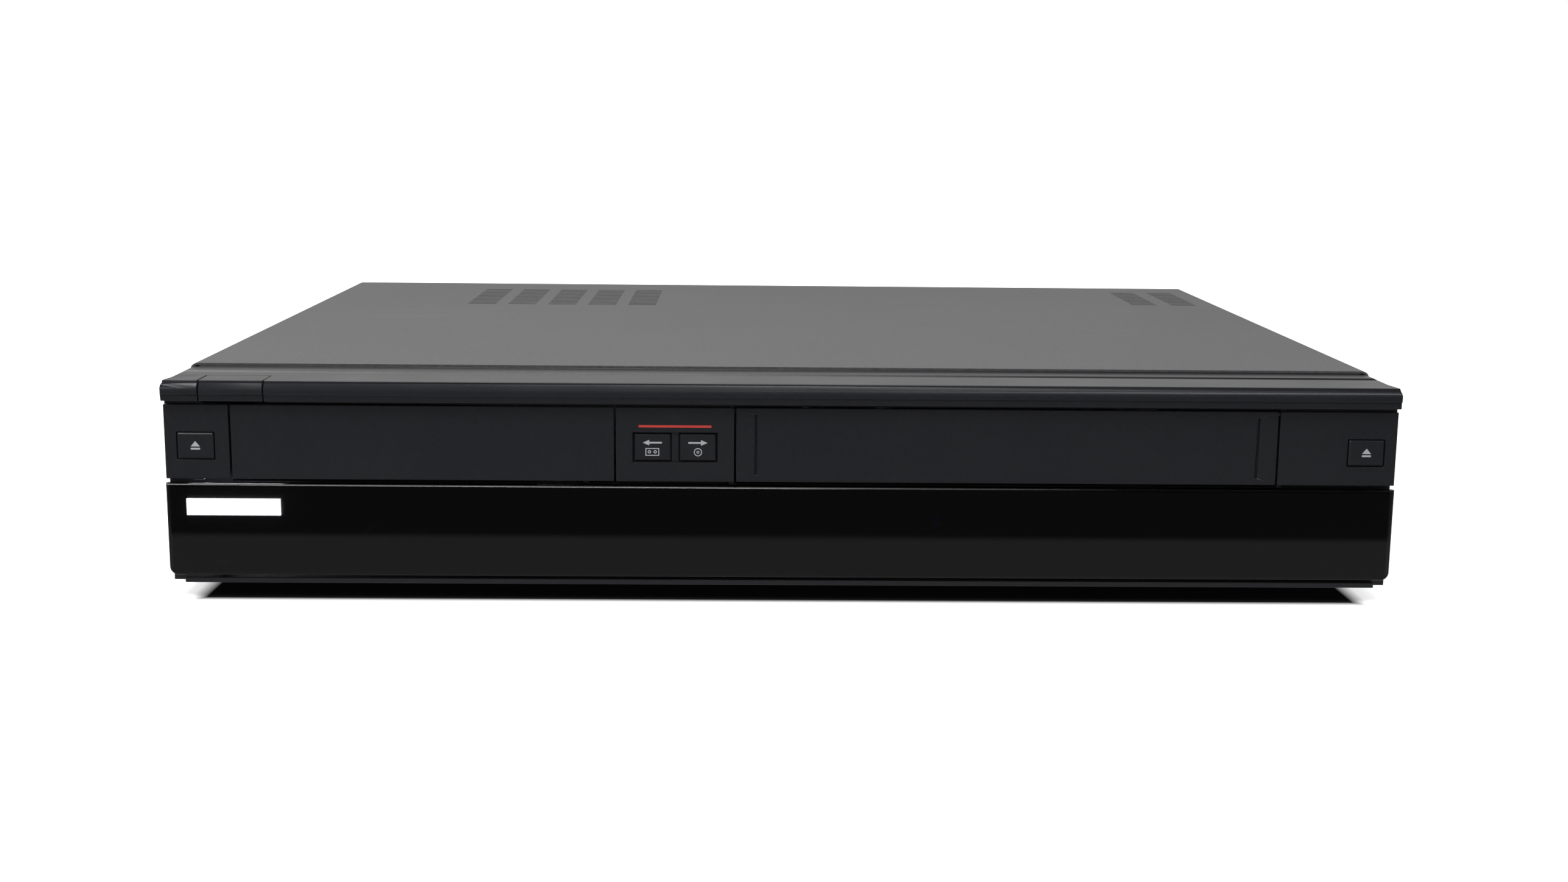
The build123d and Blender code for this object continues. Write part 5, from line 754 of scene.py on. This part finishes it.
# Each lamp's size, place and the point it is aimed at. Its power is the setting of the same name.
LAMPS = {"overhead": ((1.1, 0.6), (-0.25, -0.35, 1.0), (0, -0.08, 0)),
         "strip": ((1.0, 0.12), (-0.35, -0.52, 0.74), (-0.1, -0.172, 0.076)),
         "fill": ((0.9, 0.5), (-0.1, -1.3, 0.9), (0, -0.15, 0.03))}
TABLE_HALF = 3
WHITE, TABLE_TONE = (1, 1, 1), linear("#efefef")
PAINTED_SHADOW_HALF, PAINTED_SHADOW_TONE = (0.206, 0.171), linear("#1c1c1c")      # the painted shadow: a dark patch painted on the table under the player
PAINTED_SHADOW_SPAN = (-0.003, 0.003)                # distances from the painted shadow's outline over which it ends
PALE_SPAN, PALE_GLOW = (0.003, 0.20), (0.62, 1.0)               # and over which the glow rises
MIRRORED_NEAR, MIRRORED_FAR = linear("#989898"), linear("#505052")
MIRRORED_BLEND = 0.01                       # metres over which the one gives way to the other
DEPTH_SPAN, DEPTH_LIGHT = (-0.35, 0.55), (0.05, 0.6)    # mirrored surroundings, from the front to behind


class PLAYER_OT_stage(bpy.types.Operator):
    """Sets the camera, the table, the lamps and the surroundings"""
    bl_idname = "player.stage"
    bl_label = "Stage"

    def execute(self, context):
        stage = context.scene.player_stage
        lens = bpy.data.cameras.new("camera")
        lens.lens = stage.lens
        lens.sensor_width = CAMERA_SENSOR
        lens.clip_start = CAMERA_NEAR
        camera = bpy.data.objects.new("camera", lens)
        context.scene.collection.objects.link(camera)
        aim = Matrix.Translation(CAMERA_PLACE)
        for angle, axis in CAMERA_TURNS:
            aim = aim @ Matrix.Rotation(angle, 4, axis)
        camera.matrix_world = aim
        context.scene.camera = camera

        mesh = bmesh.new()
        bmesh.ops.create_grid(mesh, x_segments=1, y_segments=1, size=TABLE_HALF)
        data = bpy.data.meshes.new("table")
        mesh.to_mesh(data)
        mesh.free()
        table = bpy.data.objects.new("table", data)
        context.scene.collection.objects.link(table)
        table.data.materials.append(table_material(stage))

        for name, (size, spot, target) in LAMPS.items():
            light = bpy.data.lights.new(name, "AREA")
            light.shape = "RECTANGLE"
            light.size, light.size_y = size
            light.energy = getattr(stage, name)
            lamp = bpy.data.objects.new(name, light)
            context.scene.collection.objects.link(lamp)
            way = Vector(target) - Vector(spot)
            lamp.matrix_world = Matrix.Translation(spot) @ way.to_track_quat("-Z", "Y").to_matrix().to_4x4()
        context.scene.world = surroundings(stage)
        context.scene.view_settings.view_transform = "Standard"
        return {"FINISHED"}


def table_material(stage):
    """A table that the eye and mirror rays see differently.

    To the eye it is white, with a painted shadow under the player: a dark patch that is there for the
    picture's sake. To mirror rays it is pale as far as the table setting reaches in front of the player,
    and dark beyond.
    """
    made, tree, output = blank("pale_matt_laminate")
    path = add(tree, "ShaderNodeLightPath")
    place = add(tree, "ShaderNodeTexCoord").outputs["Object"]
    axes = add(tree, "ShaderNodeSeparateXYZ", {"Vector": place})
    # How far outside the painted shadow a point is, along the axis on which it is further out.
    outside = []
    for axis, half in zip("XY", PAINTED_SHADOW_HALF):
        distance = add(tree, "ShaderNodeMath", {0: axes.outputs[axis]}, operation="ABSOLUTE")
        outside.append(add(tree, "ShaderNodeMath", {0: distance.outputs[0], 1: half}, operation="SUBTRACT"))
    away = add(tree, "ShaderNodeMath", {0: outside[0].outputs[0], 1: outside[1].outputs[0]},
               operation="MAXIMUM").outputs[0]
    plain = add(tree, "ShaderNodeBsdfDiffuse", {"Color": opaque(TABLE_TONE)}).outputs[0]
    glow = shining(tree, WHITE, ranged(tree, away, PALE_SPAN, PALE_GLOW))
    bright = add(tree, "ShaderNodeAddShader", {0: plain, 1: glow}).outputs[0]
    # The painted shadow: the table's colour made dark under the player, seen by the eye alone.
    patch = add(tree, "ShaderNodeBsdfDiffuse", {"Color": opaque(PAINTED_SHADOW_TONE)}).outputs[0]
    lit = blended(tree, ranged(tree, away, PAINTED_SHADOW_SPAN), patch, bright)
    seen = blended(tree, path.outputs["Is Camera Ray"], plain, lit)
    edge = FRONT - stage.table
    mirrored = blended(tree, ranged(tree, axes.outputs["Y"], (edge, edge + MIRRORED_BLEND)),
                       shining(tree, MIRRORED_FAR), shining(tree, MIRRORED_NEAR))
    whole = blended(tree, path.outputs["Is Glossy Ray"], seen, mirrored)
    tree.links.new(whole, output.inputs["Surface"])
    return made


def surroundings(stage):
    """White to the eye, even light on the object, and to mirror rays dark in front of it and pale behind."""
    world = bpy.data.worlds.new("surroundings")
    world.use_nodes = True
    tree = world.node_tree
    tree.nodes.clear()
    output = tree.nodes.new("ShaderNodeOutputWorld")
    path = add(tree, "ShaderNodeLightPath")
    way = add(tree, "ShaderNodeTexCoord").outputs["Generated"]
    depth = add(tree, "ShaderNodeSeparateXYZ", {"Vector": way}).outputs["Y"]
    even, mirror, white = (
        shining(tree, WHITE, strength, kind="ShaderNodeBackground")
        for strength in (stage.air, ranged(tree, depth, DEPTH_SPAN, DEPTH_LIGHT), 1.0))
    glossy = blended(tree, path.outputs["Is Glossy Ray"], even, mirror)
    clear = add(tree, "ShaderNodeMath", {0: path.outputs["Is Camera Ray"],
                                         1: path.outputs["Is Transmission Ray"]}, operation="MAXIMUM")
    whole = blended(tree, clear.outputs[0], glossy, white)
    tree.links.new(whole, output.inputs["Surface"])
    return world


OPERATORS = (PLAYER_OT_stage, PLAYER_OT_finishes, PLAYER_OT_marks, PLAYER_OT_key_marks, PLAYER_OT_display,
             PLAYER_OT_sockets, PLAYER_OT_board_parts)


class PLAYER_PT_panel(bpy.types.Panel):
    """The pieces and settings of the player, in the sidebar."""
    bl_idname = "PLAYER_PT_panel"
    bl_label = "Disc and Tape Player"
    bl_space_type = "VIEW_3D"
    bl_region_type = "UI"
    bl_category = "Player"

    def draw(self, context):
        for group in (context.scene.player_finishes, context.scene.player_marks, context.scene.player_stage):
            box = self.layout.box()
            for name in group.__annotations__:
                box.prop(group, name)
        for operator in OPERATORS:
            self.layout.operator(operator.bl_idname)


GROUPS = {"player_finishes": PlayerFinishes, "player_marks": PlayerMarks, "player_stage": PlayerStage}


def register():
    for made in (*GROUPS.values(), *OPERATORS, PLAYER_PT_panel):
        bpy.utils.register_class(made)
    for name, group in GROUPS.items():
        setattr(bpy.types.Scene, name, bpy.props.PointerProperty(type=group))


def unregister():
    for name in GROUPS:
        delattr(bpy.types.Scene, name)
    for made in reversed((*GROUPS.values(), *OPERATORS, PLAYER_PT_panel)):
        bpy.utils.unregister_class(made)


def main():
    register()
    for operator in OPERATORS:
        group, name = operator.bl_idname.split(".")
        getattr(getattr(bpy.ops, group), name)()


if __name__ == "__main__":
    main()
